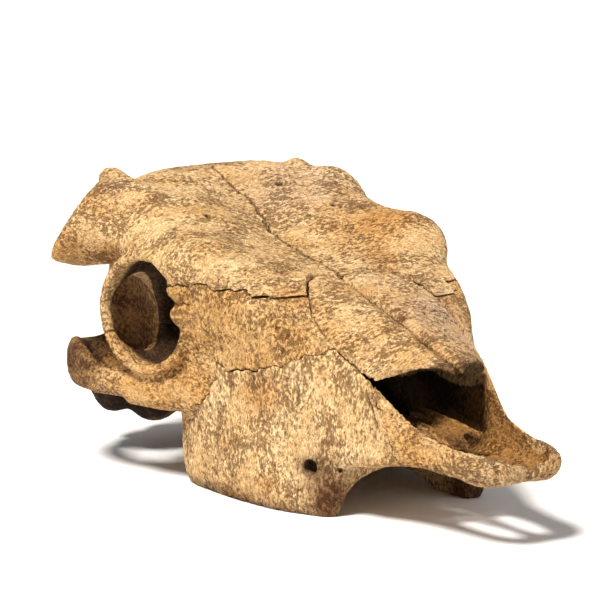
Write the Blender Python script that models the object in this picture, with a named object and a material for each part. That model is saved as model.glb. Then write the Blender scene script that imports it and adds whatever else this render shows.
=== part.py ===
"""A weathered buffalo skull, life size, with both horn cores broken off near their bases.

All sizes are in millimetres on the skull: x is across it, left side positive, y runs back from the
muzzle's tip and z is the height above the floor. The skull is first modelled whole, then parted
along its sutures into bones, with a hairline gap between them.
"""

import math

import bmesh
import bpy
import numpy as np
from mathutils import Matrix, Vector

MM = 0.001
GAP = 0.3            # hairline between two bones that touch
VOXEL = 2.6          # grid on which the joined forms are blended
FACES_WHOLE = 5050   # triangles kept on the whole skull before it is parted

# Driving sizes
TOOTH_ROW = (147, 292)        # front and back of the upper jaw's tooth row
ORBIT_CENTRE = (105, 293.5, 118)
ORBIT_HALF = (31, 35)           # half length and half height of the eye's opening
ORBIT_TURN = 20               # degrees that the opening faces forwards
RIM = 4.2                     # half thickness of the bony ring round the eye
# Each horn's broken end: its middle, its half length and the middle of the burr's knob above it
HORN_BREAK_RIGHT = ((112.5, 372, 173.5), 36.5, (88, 366, 200))
HORN_BREAK_LEFT = ((84, 366, 168), 33, (62, 364, 197))
NASAL_THICKNESS = 5
CHEEK_DEPTH = 62              # cheekbone and arch lie outside this distance from the midline
TEETH = (10, 15, 17, 26, 30, 36)   # socket lengths from front to back
TOOTH_ROW_EDGES = {           # outer and inner edge of the row at distances from the muzzle
    147: (54, 44), 160: (60, 44), 180: (69, 45), 202: (73, 46), 228: (76, 47), 254: (76, 47),
    280: (74, 45), 292: (69, 43)}
OUT_OF_TRUE = (               # where the left side lies off the right one's mirror image:
    ((66, 178, 118), (42, 66, 50), (8, 0, 7)),     # middle, reach and shift of the cheek's upper edge
    ((108, 256, 160), (34, 32, 34), (8, 0, 7)),    # of the brow over the eye
    ((57, 150, 4), (16, 16, 24), (5, -9, 0)))      # and of the tooth row's front end
HORN_ROOT = (90, 358, 171)    # where the horn core grows from the forehead
HORN_WAY = (0.85, 0.52, 0.08)
COLOURS = {                   # weathered bone, from the forehead's tan to the muzzle's grey brown
    "frontal": (0.75, 0.45, 0.17), "horn_core": (0.55, 0.30, 0.12), "nasal": (0.69, 0.39, 0.15),
    "maxilla": (0.77, 0.48, 0.22), "lacrimal": (0.72, 0.43, 0.18), "premaxilla": (0.54, 0.34, 0.17),
    "zygomatic": (0.52, 0.28, 0.11), "palatine": (0.50, 0.30, 0.14), "vomer": (0.36, 0.20, 0.09),
    "braincase": (0.56, 0.32, 0.13)}


def catmull_rom(points, count, closed):
    """Evenly spaced samples of the smooth curve through some points: each span is a cubic whose
    end slopes are half the difference between the neighbouring points."""
    p = np.asarray(points, float)
    n = len(p)
    spans = n if closed else n - 1
    t = np.linspace(0, spans, count, endpoint=not closed)
    i = np.minimum(t.astype(int), spans - 1)
    f = (t - i)[:, None]

    def at(k):
        return p[k % n] if closed else p[np.clip(k, 0, n - 1)]

    a, b, c, d = at(i - 1), at(i), at(i + 1), at(i + 2)
    return 0.5 * (2 * b + (c - a) * f + (2 * a - 5 * b + 4 * c - d) * f**2 + (3 * b - a - 3 * c + d) * f**3)


def along(stations, sizes, at):
    """Sizes between stations, by a cubic whose slope at each station is the mean slope around it."""
    s = np.asarray(stations, float)
    v = np.asarray(sizes, float)
    slope = np.gradient(v, s, axis=0)
    i = np.clip(np.searchsorted(s, at, side="right") - 1, 0, len(s) - 2)
    h = (s[i + 1] - s[i])[:, None]
    f = ((at - s[i]) / h[:, 0])[:, None]
    start = v[i] * (2 * f**3 - 3 * f**2 + 1) + slope[i] * h * (f**3 - 2 * f**2 + f)
    end = v[i + 1] * (3 * f**2 - 2 * f**3) + slope[i + 1] * h * (f**3 - f**2)
    return start + end


def mesh_object(name, points, faces):
    """An object from points in millimetres, with its faces turned outwards. Each quad is split along
    its shorter diagonal, so that two skins a hairline apart bend alike."""
    mesh = bpy.data.meshes.new(name)
    mesh.from_pydata((np.asarray(points, float) * MM).tolist(), [], faces)
    b = bmesh.new()
    b.from_mesh(mesh)
    bmesh.ops.recalc_face_normals(b, faces=b.faces)
    bmesh.ops.triangulate(b, faces=b.faces, quad_method="SHORT_EDGE")
    b.to_mesh(mesh)
    b.free()
    obj = bpy.data.objects.new(name, mesh)
    bpy.context.scene.collection.objects.link(obj)
    return obj


def loft(name, rings):
    """A closed skin over rings of equal point counts, each end closed by one face."""
    rings = np.asarray(rings, float)
    m, n = rings.shape[:2]
    faces = [(i * n + j, i * n + (j + 1) % n, (i + 1) * n + (j + 1) % n, (i + 1) * n + j)
             for i in range(m - 1) for j in range(n)]
    faces += [tuple(range(n)), tuple(range((m - 1) * n, m * n))]
    return mesh_object(name, rings.reshape(-1, 3), faces)


def symmetric_body(name, table, step=4, count=88):
    """A body across the midline. Each station gives the right half of its section from the top
    midline to the bottom midline, and the other half mirrors it."""
    stations = sorted(table)
    halves = np.array([table[s] for s in stations], float)
    at = np.arange(stations[0], stations[-1] + step / 2, step)
    halves = along(stations, halves.reshape(len(stations), -1), at).reshape(len(at), -1, 2)
    rings = []
    for y, half in zip(at, halves):
        ring = np.vstack([half, (half * (-1, 1))[-2:0:-1]])
        curve = catmull_rom(ring, count, True)
        rings.append(np.column_stack([curve[:, 0], np.full(count, y), curve[:, 1]]))
    return loft(name, rings)


def tube(name, path, radii, flat=(0, 0, 1), count=28, step=3):
    """A closed tube along a path. Each radius pair is across and along the flat direction."""
    path = np.asarray(path, float)
    samples = max(6, int(np.linalg.norm(np.diff(path, axis=0), axis=1).sum() / step))
    centre = catmull_rom(path, samples, False)
    size = catmull_rom(radii, samples, False)
    ahead = np.gradient(centre, axis=0)
    ahead /= np.linalg.norm(ahead, axis=1)[:, None]
    across = np.cross(ahead, flat)
    across /= np.linalg.norm(across, axis=1)[:, None]
    up = np.cross(across, ahead)
    turn = np.linspace(0, 2 * math.pi, count, endpoint=False)
    rings = (centre[:, None] + across[:, None] * (np.cos(turn)[:, None] * size[:, None, :1])
             + up[:, None] * (np.sin(turn)[:, None] * size[:, None, 1:]))
    return loft(name, rings)


def ellipsoid(name, centre, radii, turn=0, tilt=0):
    """An ellipsoid, turned about z and then tilted about x, both in degrees."""
    b = bmesh.new()
    bmesh.ops.create_uvsphere(b, u_segments=32, v_segments=20, radius=1)
    points = np.array([v.co for v in b.verts]) * radii
    faces = [[v.index for v in f.verts] for f in b.faces]
    b.free()
    a, e = math.radians(turn), math.radians(tilt)
    about_z = np.array([[math.cos(a), -math.sin(a), 0], [math.sin(a), math.cos(a), 0], [0, 0, 1]])
    about_x = np.array([[1, 0, 0], [0, math.cos(e), -math.sin(e)], [0, math.sin(e), math.cos(e)]])
    return mesh_object(name, points @ (about_x @ about_z).T + centre, faces)


def mirrored(obj):
    """The same form on the right side."""
    points = np.array([v.co for v in obj.data.vertices]) / MM * (-1, 1, 1)
    return mesh_object(obj.name + "_r", points, [list(p.vertices) for p in obj.data.polygons])


def both(obj):
    return [obj, mirrored(obj)]


def remove(objects):
    for obj in objects:
        bpy.data.objects.remove(obj)


def evaluated(obj):
    """The object's mesh as its modifiers leave it; the modifiers are then gone."""
    bpy.context.view_layer.update()
    mesh = bpy.data.meshes.new_from_object(obj.evaluated_get(bpy.context.evaluated_depsgraph_get()))
    obj.modifiers.clear()
    obj.data = mesh
    return obj


def blended(name, objects, voxel=VOXEL, smooth=6):
    """Several overlapping closed forms as one skin whose joints are rounded."""
    joined = bmesh.new()
    for obj in objects:
        joined.from_mesh(obj.data)
    mesh = bpy.data.meshes.new(name)
    joined.to_mesh(mesh)
    joined.free()
    remove(objects)
    whole = bpy.data.objects.new(name, mesh)
    bpy.context.scene.collection.objects.link(whole)
    remesh = whole.modifiers.new("Blend", "REMESH")
    remesh.mode = "VOXEL"
    remesh.voxel_size = voxel * MM
    soften = whole.modifiers.new("Soften", "SMOOTH")
    soften.factor = 0.5
    soften.iterations = smooth
    return evaluated(whole)


def boolean(obj, cutters, operation="DIFFERENCE", solver="MANIFOLD"):
    """Cuts, joins or keeps the object by each of some closed forms, which are then removed."""
    for cutter in cutters:
        step = obj.modifiers.new("Cut", "BOOLEAN")
        step.operation = operation
        step.solver = solver
        step.object = cutter
    evaluated(obj)
    remove(cutters)
    return obj


def orbit_frame():
    """The eye opening's centre, its backward direction, up, and its outward normal."""
    a = math.radians(ORBIT_TURN)
    back = np.array([math.sin(a), math.cos(a), 0])
    up = np.array([0, 0, 1.0])
    return np.array(ORBIT_CENTRE, float), back, up, np.cross(back, up)


def orbit_loft(name, depths, scales, shifts):
    """A body whose sections are ellipses parallel to the eye's opening, at depths along its normal."""
    centre, back, up, out = orbit_frame()
    turn = np.linspace(0, 2 * math.pi, 48, endpoint=False)
    rings = [centre + out * d + np.array(shift)
             + np.outer(np.cos(turn) * half_length, back) + np.outer(np.sin(turn) * half_height, up)
             for d, (half_length, half_height), shift in zip(depths, scales, shifts)]
    return loft(name, rings)


def face():
    """Muzzle, cheeks and upper jaw. Half sections: top, shoulder, upper cheek, lower cheek, lower
    edge, bottom."""
    return symmetric_body("face", {
        3: [(0, 52), (8, 54), (15, 55), (18, 51), (13, 47), (0, 48)],
        9: [(0, 55), (17, 58), (25, 57), (26, 50), (18, 43), (0, 44)],
        20: [(0, 58), (25, 61), (32, 57), (32, 49), (23, 40), (0, 41)],
        50: [(0, 61), (31, 63), (36, 57), (37, 50), (29, 42), (0, 42)],
        85: [(0, 72), (36, 72), (41, 62), (43, 52), (36, 43), (0, 43)],
        104: [(0, 84), (41, 84), (45, 72), (46, 53), (43, 40), (0, 42)],
        116: [(0, 112), (42, 96), (46, 78), (49, 54), (47, 37), (0, 40)],
        136: [(0, 120), (44, 104), (51, 89), (54, 51), (51, 31), (0, 36)],
        148: [(0, 124), (45, 109), (56, 94), (57, 46), (54, 0), (0, 12)],
        160: [(0, 128), (47, 115), (62, 100), (63, 48), (60, -2), (0, 6)],
        180: [(0, 134), (48, 125), (72, 113), (71, 54), (69, -2), (0, 4)],
        202: [(0, 141), (48, 142), (80, 130), (79, 66), (73, -2), (0, 4)],
        228: [(0, 147), (50, 151), (90, 139), (86, 76), (76, -2), (0, 4)],
        254: [(0, 152), (52, 158), (95, 140), (89, 80), (76, -2), (0, 4)],
        280: [(0, 158), (60, 162), (94, 130), (85, 64), (74, -2), (0, 4)],
        292: [(0, 162), (64, 162), (90, 124), (80, 60), (69, 2), (0, 6)],
        302: [(0, 165), (64, 160), (82, 120), (72, 68), (50, 44), (0, 40)],
        314: [(0, 168), (58, 156), (72, 124), (54, 88), (32, 64), (0, 56)],
    })


def forehead():
    """The broad roof from the nose's root to the crest behind the horns. Half sections: top, inner
    and outer roof, side, lower side, bottom."""
    return symmetric_body("forehead", {
        205: [(0, 142), (30, 147), (58, 141), (66, 128), (40, 108), (0, 100)],
        235: [(0, 149), (36, 153), (80, 158), (96, 140), (60, 106), (0, 96)],
        262: [(0, 155), (40, 161), (84, 171), (104, 148), (72, 110), (0, 96)],
        284: [(0, 161), (44, 171), (90, 172), (108, 146), (80, 116), (0, 96)],
        305: [(0, 169), (48, 181), (90, 176), (108, 148), (80, 124), (0, 96)],
        340: [(0, 185), (46, 193), (82, 190), (106, 164), (78, 138), (0, 96)],
        366: [(0, 200), (42, 202), (76, 193), (100, 168), (76, 142), (0, 96)],
        392: [(0, 200), (44, 197), (70, 186), (84, 164), (68, 142), (0, 96)],
        418: [(0, 184), (40, 180), (60, 172), (70, 156), (58, 136), (0, 96)],
    })


def braincase():
    """The brain's box, the ear region and the broad plate at the back."""
    forms = [ellipsoid("brain", (0, 366, 118), (60, 70, 68))]
    forms.append(symmetric_body("base", {
        300: [(0, 112), (18, 110), (26, 84), (20, 56), (10, 48), (0, 48)],
        332: [(0, 120), (32, 112), (40, 78), (28, 46), (12, 37), (0, 37)],
        370: [(0, 120), (44, 114), (58, 82), (48, 44), (20, 29), (0, 29)],
        410: [(0, 120), (50, 122), (60, 86), (58, 50), (24, 24), (0, 24)],
        428: [(0, 140), (44, 132), (52, 90), (54, 58), (26, 28), (0, 28)],
    }))
    forms.append(symmetric_body("nape", {
        394: [(0, 193), (46, 182), (70, 150), (76, 102), (56, 48), (0, 40)],
        412: [(0, 191), (44, 178), (62, 146), (66, 104), (58, 50), (0, 42)],
        426: [(0, 181), (38, 168), (50, 142), (55, 104), (52, 58), (0, 46)],
        432: [(0, 162), (30, 152), (38, 128), (42, 102), (40, 66), (0, 50)],
    }))
    return forms


def horn_base(end, half, burr):
    """The stump of the left horn core: it leaves the forehead sideways and ends in an oblique break,
    with a knob of the burr left on its upper edge."""
    end = np.array(end, float)
    long_way = np.array([-0.66, -0.03, 0.75])
    short_way = np.array([0.507, -0.743, 0.417])
    turn = np.linspace(0, 2 * math.pi, 40, endpoint=False)
    starts = [((56, 352, 168), (0, 0, 1), (0, -1, 0), 26, 44),
              ((78, 353, 170), (-0.15, 0, 0.99), (0.1, -0.99, 0), 29, 38),
              ((94, 361, 170), (-0.42, 0.0, 0.9), (0.25, -0.93, 0.25), 34, 31)]
    rings = [np.array(c, float) + np.outer(np.cos(turn) * tall, up) + np.outer(np.sin(turn) * wide, out)
             for c, up, out, tall, wide in starts]
    rings.append(end + np.outer(np.cos(turn) * half, long_way) + np.outer(np.sin(turn) * 27, short_way))
    return [loft("horn", rings), ellipsoid("burr", burr, (9, 12, 8), turn=-20)]


def orbit_barrel():
    """The short tube of bone that carries the eye's rim out from the face and forehead."""
    a, b = ORBIT_HALF
    return orbit_loft("barrel", (1, -14, -40, -64),
                      ((a + 5, b + 5), (a + 8, b + 8), (a + 15, b + 13), (a + 18, b + 14)),
                      ((0, 0, 0), (0, 0, 0), (0, 2, 2), (0, 4, 4)))


def orbit_rim():
    """The ring round the eye, with the bar behind it that closes it."""
    centre, back, up, out = orbit_frame()
    a, b = ORBIT_HALF
    turn = np.linspace(0, 2 * math.pi, 56, endpoint=False)
    small = np.linspace(0, 2 * math.pi, 14, endpoint=False)
    radial = np.outer(np.cos(turn), back) + np.outer(np.sin(turn), up)
    middle = centre + np.outer(np.cos(turn) * (a + RIM), back) + np.outer(np.sin(turn) * (b + RIM), up)
    rings = (middle[:, None] + radial[:, None] * (np.cos(small)[:, None] * RIM)
             + out * (np.sin(small)[:, None] * RIM * 1.3))
    m, n = rings.shape[:2]
    faces = [(i * n + j, i * n + (j + 1) % n, (i + 1) % m * n + (j + 1) % n, (i + 1) % m * n + j)
             for i in range(m) for j in range(n)]
    return mesh_object("rim", rings.reshape(-1, 3), faces)


def lacrimal_lobes():
    """Two blunt lobes on the front rim that reach into the eye's opening."""
    return [ellipsoid("upper_lobe", (99, 265, 137), (6, 11, 7.5), turn=10),
            ellipsoid("lower_lobe", (98, 263, 120), (6, 10, 7.5), turn=10)]


def cheek_arch():
    """The cheekbone under the eye and the arch that runs back from it to the ear region."""
    jugal = tube("jugal", [(64, 226, 74), (80, 252, 70), (92, 285, 64), (106, 316, 62)],
                 [(8, 10), (12, 16), (11, 13), (8, 10)])
    arch = tube("arch", [(98, 298, 66), (110, 326, 66), (115, 345, 67), (116, 361, 72), (112, 376, 74),
                         (98, 391, 72), (66, 398, 72)],
                [(8, 11), (6.5, 10), (5.5, 11.5), (6, 16), (7, 17), (9, 14), (14, 14)])
    return [jugal, arch]


def pterygoid():
    """The thin wing behind the palate, whose hooked tip reaches the floor."""
    return tube("pterygoid", [(22, 318, 84), (25, 320, 56), (28, 322, 28), (29, 324, 4), (29, 325, -6)],
                [(7, 22), (6, 19), (5, 13), (5, 9), (5, 9)], flat=(0, 1, 0))


def ear_and_nape_knobs():
    """Ear capsule, jaw socket, side process of the nape and the condyle beside the spine's hole."""
    return [ellipsoid("bulla", (42, 390, 43), (21, 22, 23)),
            ellipsoid("jaw_socket", (68, 378, 62), (22, 18, 13)),
            ellipsoid("ear_side", (68, 401, 56), (19, 18, 29)),
            tube("side_process", [(56, 418, 74), (57, 424, 50), (55, 428, 26)],
                 [(12, 13), (9, 10), (5, 6)], flat=(0, 1, 0)),
            ellipsoid("condyle", (22, 432, 38), (14, 17, 22), tilt=-15)]


def eye_socket_cutter():
    """The eye's hollow: it narrows inwards and back from the rim."""
    a, b = ORBIT_HALF
    return orbit_loft("socket", (30, 0, -18, -40, -58, -68),
                      ((a + 1, b + 1), (a, b), (a + 1, b + 1), (a - 4, b - 6), (a - 14, b - 18),
                       (a - 26, b - 31)),
                      ((0, 0, 0), (0, 0, 0), (0, 1, 0), (0, 5, -1), (0, 9, -2), (0, 10, -2)))


def temporal_cutters():
    """The hollow behind the eye's bar, under the horn, open sideways and downwards, and the way from
    the eye's hollow into it behind the bar."""
    return [ellipsoid("temple", (98, 361, 97), (41, 30, 46)),
            ellipsoid("temple_way", (90, 330, 112), (26, 26, 27), turn=-15)]


def nose_cutter():
    """The nose's passage: open on top of the muzzle, roofed further back. Half sections: top,
    shoulder, side, floor corner, floor."""
    return symmetric_body("passage", {
        8: [(0, 90), (14, 90), (16, 66), (12, 53), (0, 51)],
        24: [(0, 100), (24, 100), (26, 64), (20, 49), (0, 48)],
        60: [(0, 112), (30, 112), (32, 68), (26, 47), (0, 45)],
        92: [(0, 122), (37, 120), (36, 72), (29, 46), (0, 44)],
        114: [(0, 124), (42, 108), (39, 76), (31, 45), (0, 44)],
        136: [(0, 120), (38, 100), (37, 76), (30, 45), (0, 44)],
        165: [(0, 130), (36, 112), (34, 80), (28, 49), (0, 47)],
        200: [(0, 132), (30, 124), (30, 86), (24, 56), (0, 53)],
        232: [(0, 132), (22, 120), (22, 94), (18, 68), (0, 64)],
        254: [(0, 118), (11, 112), (11, 98), (9, 84), (0, 80)],
    })


def palate_cutter():
    """The vault between the tooth rows, opening backwards under the skull's base."""
    return symmetric_body("vault", {
        128: [(0, 28), (26, 26), (44, 18), (48, -6), (28, -14), (0, -14)],
        146: [(0, 30), (26, 29), (42, 18), (45, -6), (26, -14), (0, -14)],
        164: [(0, 31), (28, 30), (43, 18), (45, -6), (26, -14), (0, -14)],
        200: [(0, 33), (29, 31), (43, 18), (46, -6), (26, -14), (0, -14)],
        250: [(0, 34), (29, 32), (44, 18), (47, -6), (26, -14), (0, -14)],
        284: [(0, 34), (27, 32), (41, 18), (44, -6), (26, -14), (0, -14)],
        306: [(0, 42), (22, 40), (34, 24), (38, -6), (24, -14), (0, -14)],
    })


def choana_cutter():
    """The nose's way out behind the palate, between the pterygoid wings."""
    return tube("choana", [(0, 284, 18), (0, 300, 40), (0, 312, 58), (0, 300, 78)],
                [(16, 16), (16, 16), (15, 14), (10, 8)], flat=(0, 1, 0.3))


def spine_hole_cutter():
    """The hole for the spinal cord, as deep as it is seen into."""
    return tube("spine_hole", [(0, 470, 46), (0, 430, 60), (0, 408, 76), (0, 392, 90)],
                [(17, 15), (17, 16), (20, 18), (12, 12)])


def palatine_slit_cutter():
    """The slit beside the midline in the muzzle's floor."""
    return tube("slit", [(10, 24, 44), (12, 45, 43), (14, 76, 42)], [(4, 16), (7, 16), (4, 16)])


def tip_notch_cutter():
    """The notch in the muzzle's tip between its two bones."""
    return ellipsoid("notch", (0, 6, 61), (4.5, 20, 12))


def worn_row_cutter():
    """What has broken off the left tooth row's edge, behind its front end."""
    return ellipsoid("worn", (62, 222, -6), (30, 58, 18))


def floor_cutter():
    """All that lies below the floor, so that the skull rests on small flats at one level."""
    return box("floor", (-200, -60, -40), (200, 520, 0))


def box(name, low, high):
    corners = [(x, y, z) for x in (low[0], high[0]) for y in (low[1], high[1]) for z in (low[2], high[2])]
    return mesh_object(name, corners, [(0, 1, 3, 2), (4, 6, 7, 5), (0, 4, 5, 1), (2, 3, 7, 6), (0, 2, 6, 4),
                                       (1, 5, 7, 3)])


def whole_skull():
    """All of the skull but its nasal bones and the vomer, as one blended skin."""
    forms = [face(), forehead(), *braincase(), *both(orbit_barrel())]
    forms += horn_base(*HORN_BREAK_LEFT)
    right = horn_base(*HORN_BREAK_RIGHT)
    forms += [mirrored(form) for form in right]
    remove(right)
    for side in ear_and_nape_knobs():
        forms += both(side)
    skull = blended("skull", forms, smooth=10)
    cutters = [palate_cutter()]
    for side in (eye_socket_cutter(), *temporal_cutters()):
        cutters += both(side)
    boolean(skull, cutters)
    extra = []
    for side in (orbit_rim(), *lacrimal_lobes(), *cheek_arch(), pterygoid()):
        extra += both(side)
    skull = blended("skull_and_arches", [skull, *extra], smooth=5)
    cutters = [nose_cutter(), choana_cutter(), spine_hole_cutter(), *both(palatine_slit_cutter())]
    return boolean(skull, cutters)


def thinned(obj, triangles):
    """The same skin with fewer triangles, kept where the form bends most."""
    count = sum(len(p.vertices) - 2 for p in obj.data.polygons)
    step = obj.modifiers.new("Thin", "DECIMATE")
    step.ratio = triangles / count
    return evaluated(obj)


NASAL_SIZES = {               # half width, midline height, and fall from it at 46 mm out
    84: (7, 106, 14), 90: (14, 108, 18), 98: (24, 110, 21), 106: (34, 112, 22), 114: (42, 114.5, 22),
    122: (44, 117, 21), 146: (46, 125, 18), 165: (47, 130.5, 14), 182: (45, 135, 9),
    200: (37, 141, 3), 212: (29, 144, 0), 218: (20, 146, 0)}


NASAL_STATIONS = tuple(NASAL_SIZES)


def nasal_edges(y, count=7, inner=1.6):
    """Points across one nasal bone, left side: its upper and its lower line."""
    width, top, fall = NASAL_SIZES[y]
    x = np.linspace(inner, width, count)
    upper = top - fall * (x / 46)**2 - 1.2 * np.exp(-(x - inner) / 3)
    thick = NASAL_THICKNESS * (1 - 0.35 * (x / width)**4)
    return x, upper, upper - thick


def nasal(name):
    """The left nasal bone: a long arched plate, pointed in front beside the midline."""
    rings = []
    for y in NASAL_STATIONS:
        x, upper, lower = nasal_edges(y)
        ring = np.vstack([np.column_stack([x, upper]), np.column_stack([x, lower])[::-1]])
        rings.append(np.column_stack([ring[:, 0], np.full(len(ring), y), ring[:, 1]]))
    return loft(name, rings)


def nasal_bed():
    """All that lies above the nasal bones' undersides, larger than both of them by a gap that stays
    open where the two skins are faceted differently."""
    gap = 2 * GAP
    rings = []
    for y in NASAL_STATIONS:
        x, upper, lower = nasal_edges(y)
        floor = np.column_stack([[0, *x, x[-1] + gap], [lower[0], *lower, lower[-1]]]) - (0, gap)
        half = np.vstack([floor, (floor[-1, 0], 230)])
        ring = np.vstack([half, (half * (-1, 1))[:0:-1]])
        rings.append(np.column_stack([ring[:, 0], np.full(len(ring), y), ring[:, 1]]))
    rings[0][:, 1] -= 4
    rings[-1][:, 1] += gap
    return loft("bed", rings)


def vomer():
    """The long thin keel that rises from the nose's floor and ends bluntly in front."""
    return tube("vomer", [(0, 78, 53), (0, 92, 56), (0, 112, 58), (0, 140, 58), (0, 176, 62)],
                [(7, 3), (8, 4), (7, 5), (5, 6), (3, 5)], flat=(0, 0, 1), count=14, step=8)


def outline_prism(name, outline, x_from, x_to, grow=0.0):
    """A closed side-view outline, smoothed, pushed out by a hairline and extruded sideways."""
    curve = catmull_rom(outline, 3 * len(outline), True)
    ahead = np.roll(curve, -1, axis=0) - np.roll(curve, 1, axis=0)
    ahead /= np.linalg.norm(ahead, axis=1)[:, None]
    area = 0.5 * np.sum(curve[:, 0] * np.roll(curve[:, 1], -1) - np.roll(curve[:, 0], -1) * curve[:, 1])
    outwards = np.column_stack([ahead[:, 1], -ahead[:, 0]]) * np.sign(area)
    curve = curve + outwards * grow
    low, high = sorted((x_from, x_to))
    return loft(name, [np.column_stack([np.full(len(curve), x), curve]) for x in (low - grow, high + grow)])


def out_of_true(form):
    """Shifts the uneven places of the left side: each shift fades by exp(-distance^2), with the
    distance counted in reaches from its middle."""
    points = np.array([v.co for v in form.data.vertices]) / MM
    moved = points.copy()
    for middle, reach, shift in OUT_OF_TRUE:
        distance = (((points - middle) / reach)**2).sum(axis=1)
        moved += np.exp(-distance)[:, None] * shift
    form.data.vertices.foreach_set("co", (moved * MM).ravel())


PREMAXILLA = [(-30, 0), (-30, 130), (60, 130), (108, 130), (114, 96), (110, 82), (101, 66), (94, 52),
              (84, 40), (78, 20), (70, 0)]
FRONTAL = [(176, 230), (176, 150), (178, 131), (190, 135), (200, 138), (215, 141), (229, 142), (239, 144),
           (251, 143), (262, 140), (290, 138), (310, 126), (322, 104), (334, 100), (347, 104), (352, 126),
           (366, 140), (392, 142), (402, 156), (404, 196), (402, 230), (300, 232)]
LACRIMAL = [(147, 119), (151, 142), (176, 170), (262, 170), (266, 140), (265, 122), (258, 104), (240, 95),
            (222, 89), (204, 91), (186, 95), (170, 101), (160, 106), (151, 111)]
ZYGOMATIC = [(250, 128), (238, 110), (232, 96), (238, 76), (262, 52), (300, 30), (340, 34), (352, 60),
             (347, 80), (354, 112), (330, 122), (300, 128)]
PALATINE = [(262, -20), (262, 44), (284, 58), (304, 92), (334, 96), (344, 60), (342, -20)]
MAXILLA = [(-40, -40), (-40, 190), (60, 200), (256, 190), (262, 130), (290, 104), (304, 70), (304, -40),
           (150, -50)]


def horn_region(sign, grow=0.0):
    """A short round block whose flat inner face crosses the root of one horn core."""
    way = np.array(HORN_WAY) / np.linalg.norm(HORN_WAY)
    front = np.cross(way, (0, 0, 1))
    front /= np.linalg.norm(front)
    up = np.cross(front, way)
    turn = np.linspace(0, 2 * math.pi, 24, endpoint=False)
    rings = [np.array(HORN_ROOT) + way * reach + (44 + grow) * (np.outer(np.cos(turn), front)
                                                                 + np.outer(np.sin(turn), up))
             for reach in (-grow, 70)]
    return loft("block", np.array(rings) * (sign, 1, 1))


def parted(rest, name, region):
    """One bone inside a region is taken from the rest, with a hairline left between them."""
    bone = bpy.data.objects.new(name, rest.data.copy())
    bpy.context.scene.collection.objects.link(bone)
    boolean(bone, [region(0)], "INTERSECT")
    boolean(rest, [region(GAP)])
    return largest(bone)


def largest(obj):
    """Only the largest closed surface of an object stays."""
    b = bmesh.new()
    b.from_mesh(obj.data)
    left = set(b.verts)
    shells = []
    while left:
        start = left.pop()
        shell, edge = {start}, [start]
        while edge:
            for e in edge.pop().link_edges:
                for v in e.verts:
                    if v in left:
                        left.remove(v)
                        shell.add(v)
                        edge.append(v)
        shells.append(shell)
    shells.sort(key=len)
    for shell in shells[:-1]:
        bmesh.ops.delete(b, geom=list(shell), context="VERTS")
    b.to_mesh(obj.data)
    b.free()
    return obj


def tooth_sockets():
    """Six empty sockets in the left tooth row, each a hollow that narrows upwards."""
    rows = list(TOOTH_ROW_EDGES)
    turn = np.linspace(0, 2 * math.pi, 10, endpoint=False)
    across = np.sign(np.cos(turn)) * np.abs(np.cos(turn))**0.6
    ahead = np.sign(np.sin(turn)) * np.abs(np.sin(turn))**0.6
    start = TOOTH_ROW[0] + 3.5
    sockets = []
    for length in TEETH:
        middle = start + length / 2
        outer, inner = along(rows, [TOOTH_ROW_EDGES[row] for row in rows], np.array([middle]))[0]
        wide = (outer - inner) / 2 - 3
        rings = [np.column_stack([(outer + inner) / 2 + across * wide * k,
                                  middle + ahead * (length / 2 - 1) * k, np.full(len(turn), z)])
                 for z, k in ((-3, 1.0), (14, 0.6))]
        sockets.append(loft("socket", rings))
        start += length + 1.3
    return sockets


def cheek_holes():
    """The two nerve holes low on the left cheek."""
    return [tube("nerve_hole", [(66, 157, 32), (54, 165, 33), (42, 178, 36)],
                 [(5.5, 5.5), (4.6, 4.6), (3, 3)], count=14, step=6),
            tube("small_hole", [(56, 137, 33), (48, 141, 34), (42, 145, 36)],
                 [(2.4, 2.4), (2.1, 2.1), (1.5, 1.5)], count=10, step=6)]


def material(name, colour):
    """Dry weathered bone."""
    mat = bpy.data.materials.new(name)
    mat.use_nodes = True
    shader = mat.node_tree.nodes["Principled BSDF"]
    shader.inputs["Base Color"].default_value = (*colour, 1)
    shader.inputs["Roughness"].default_value = 0.8
    shader.inputs["Metallic"].default_value = 0.0
    return mat


def bones_of_one_side(rest, side, sign):
    """The bones of the right or the left half, each taken from what is left of the whole."""
    mid = GAP / 2
    places = {"frontal": (FRONTAL, mid, 200), "premaxilla": (PREMAXILLA, mid, 200),
              "zygomatic": (ZYGOMATIC, CHEEK_DEPTH, 200), "lacrimal": (LACRIMAL, 40, 200),
              "palatine": (PALATINE, mid, 43), "maxilla": (MAXILLA, mid, 200)}
    bones = [parted(rest, f"horn_core_{side}", lambda grow: horn_region(sign, grow))]
    for name, (outline, inner, outer) in places.items():
        bones.append(parted(rest, f"{name}_{side}",
                            lambda grow: outline_prism(name, outline, sign * inner, sign * outer, grow)))
    return bones


def finished(bones):
    """Each bone gets its material and smooth shading, and all are set round the origin: the middle
    of the box that holds them, at floor height."""
    points = np.vstack([[v.co for v in bone.data.vertices] for bone in bones])
    low, high = points.min(axis=0), points.max(axis=0)
    middle = Vector(((low[0] + high[0]) / 2, (low[1] + high[1]) / 2, low[2]))
    for bone in bones:
        bone.data.transform(Matrix.Translation(-middle))
        kind = bone.name.removesuffix("_left").removesuffix("_right")
        bone.data.materials.clear()
        bone.data.materials.append(material(bone.name + "_bone", COLOURS[kind]))
        bone.data.shade_smooth()
        bone.data.set_sharp_from_angle(angle=math.radians(40))


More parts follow.
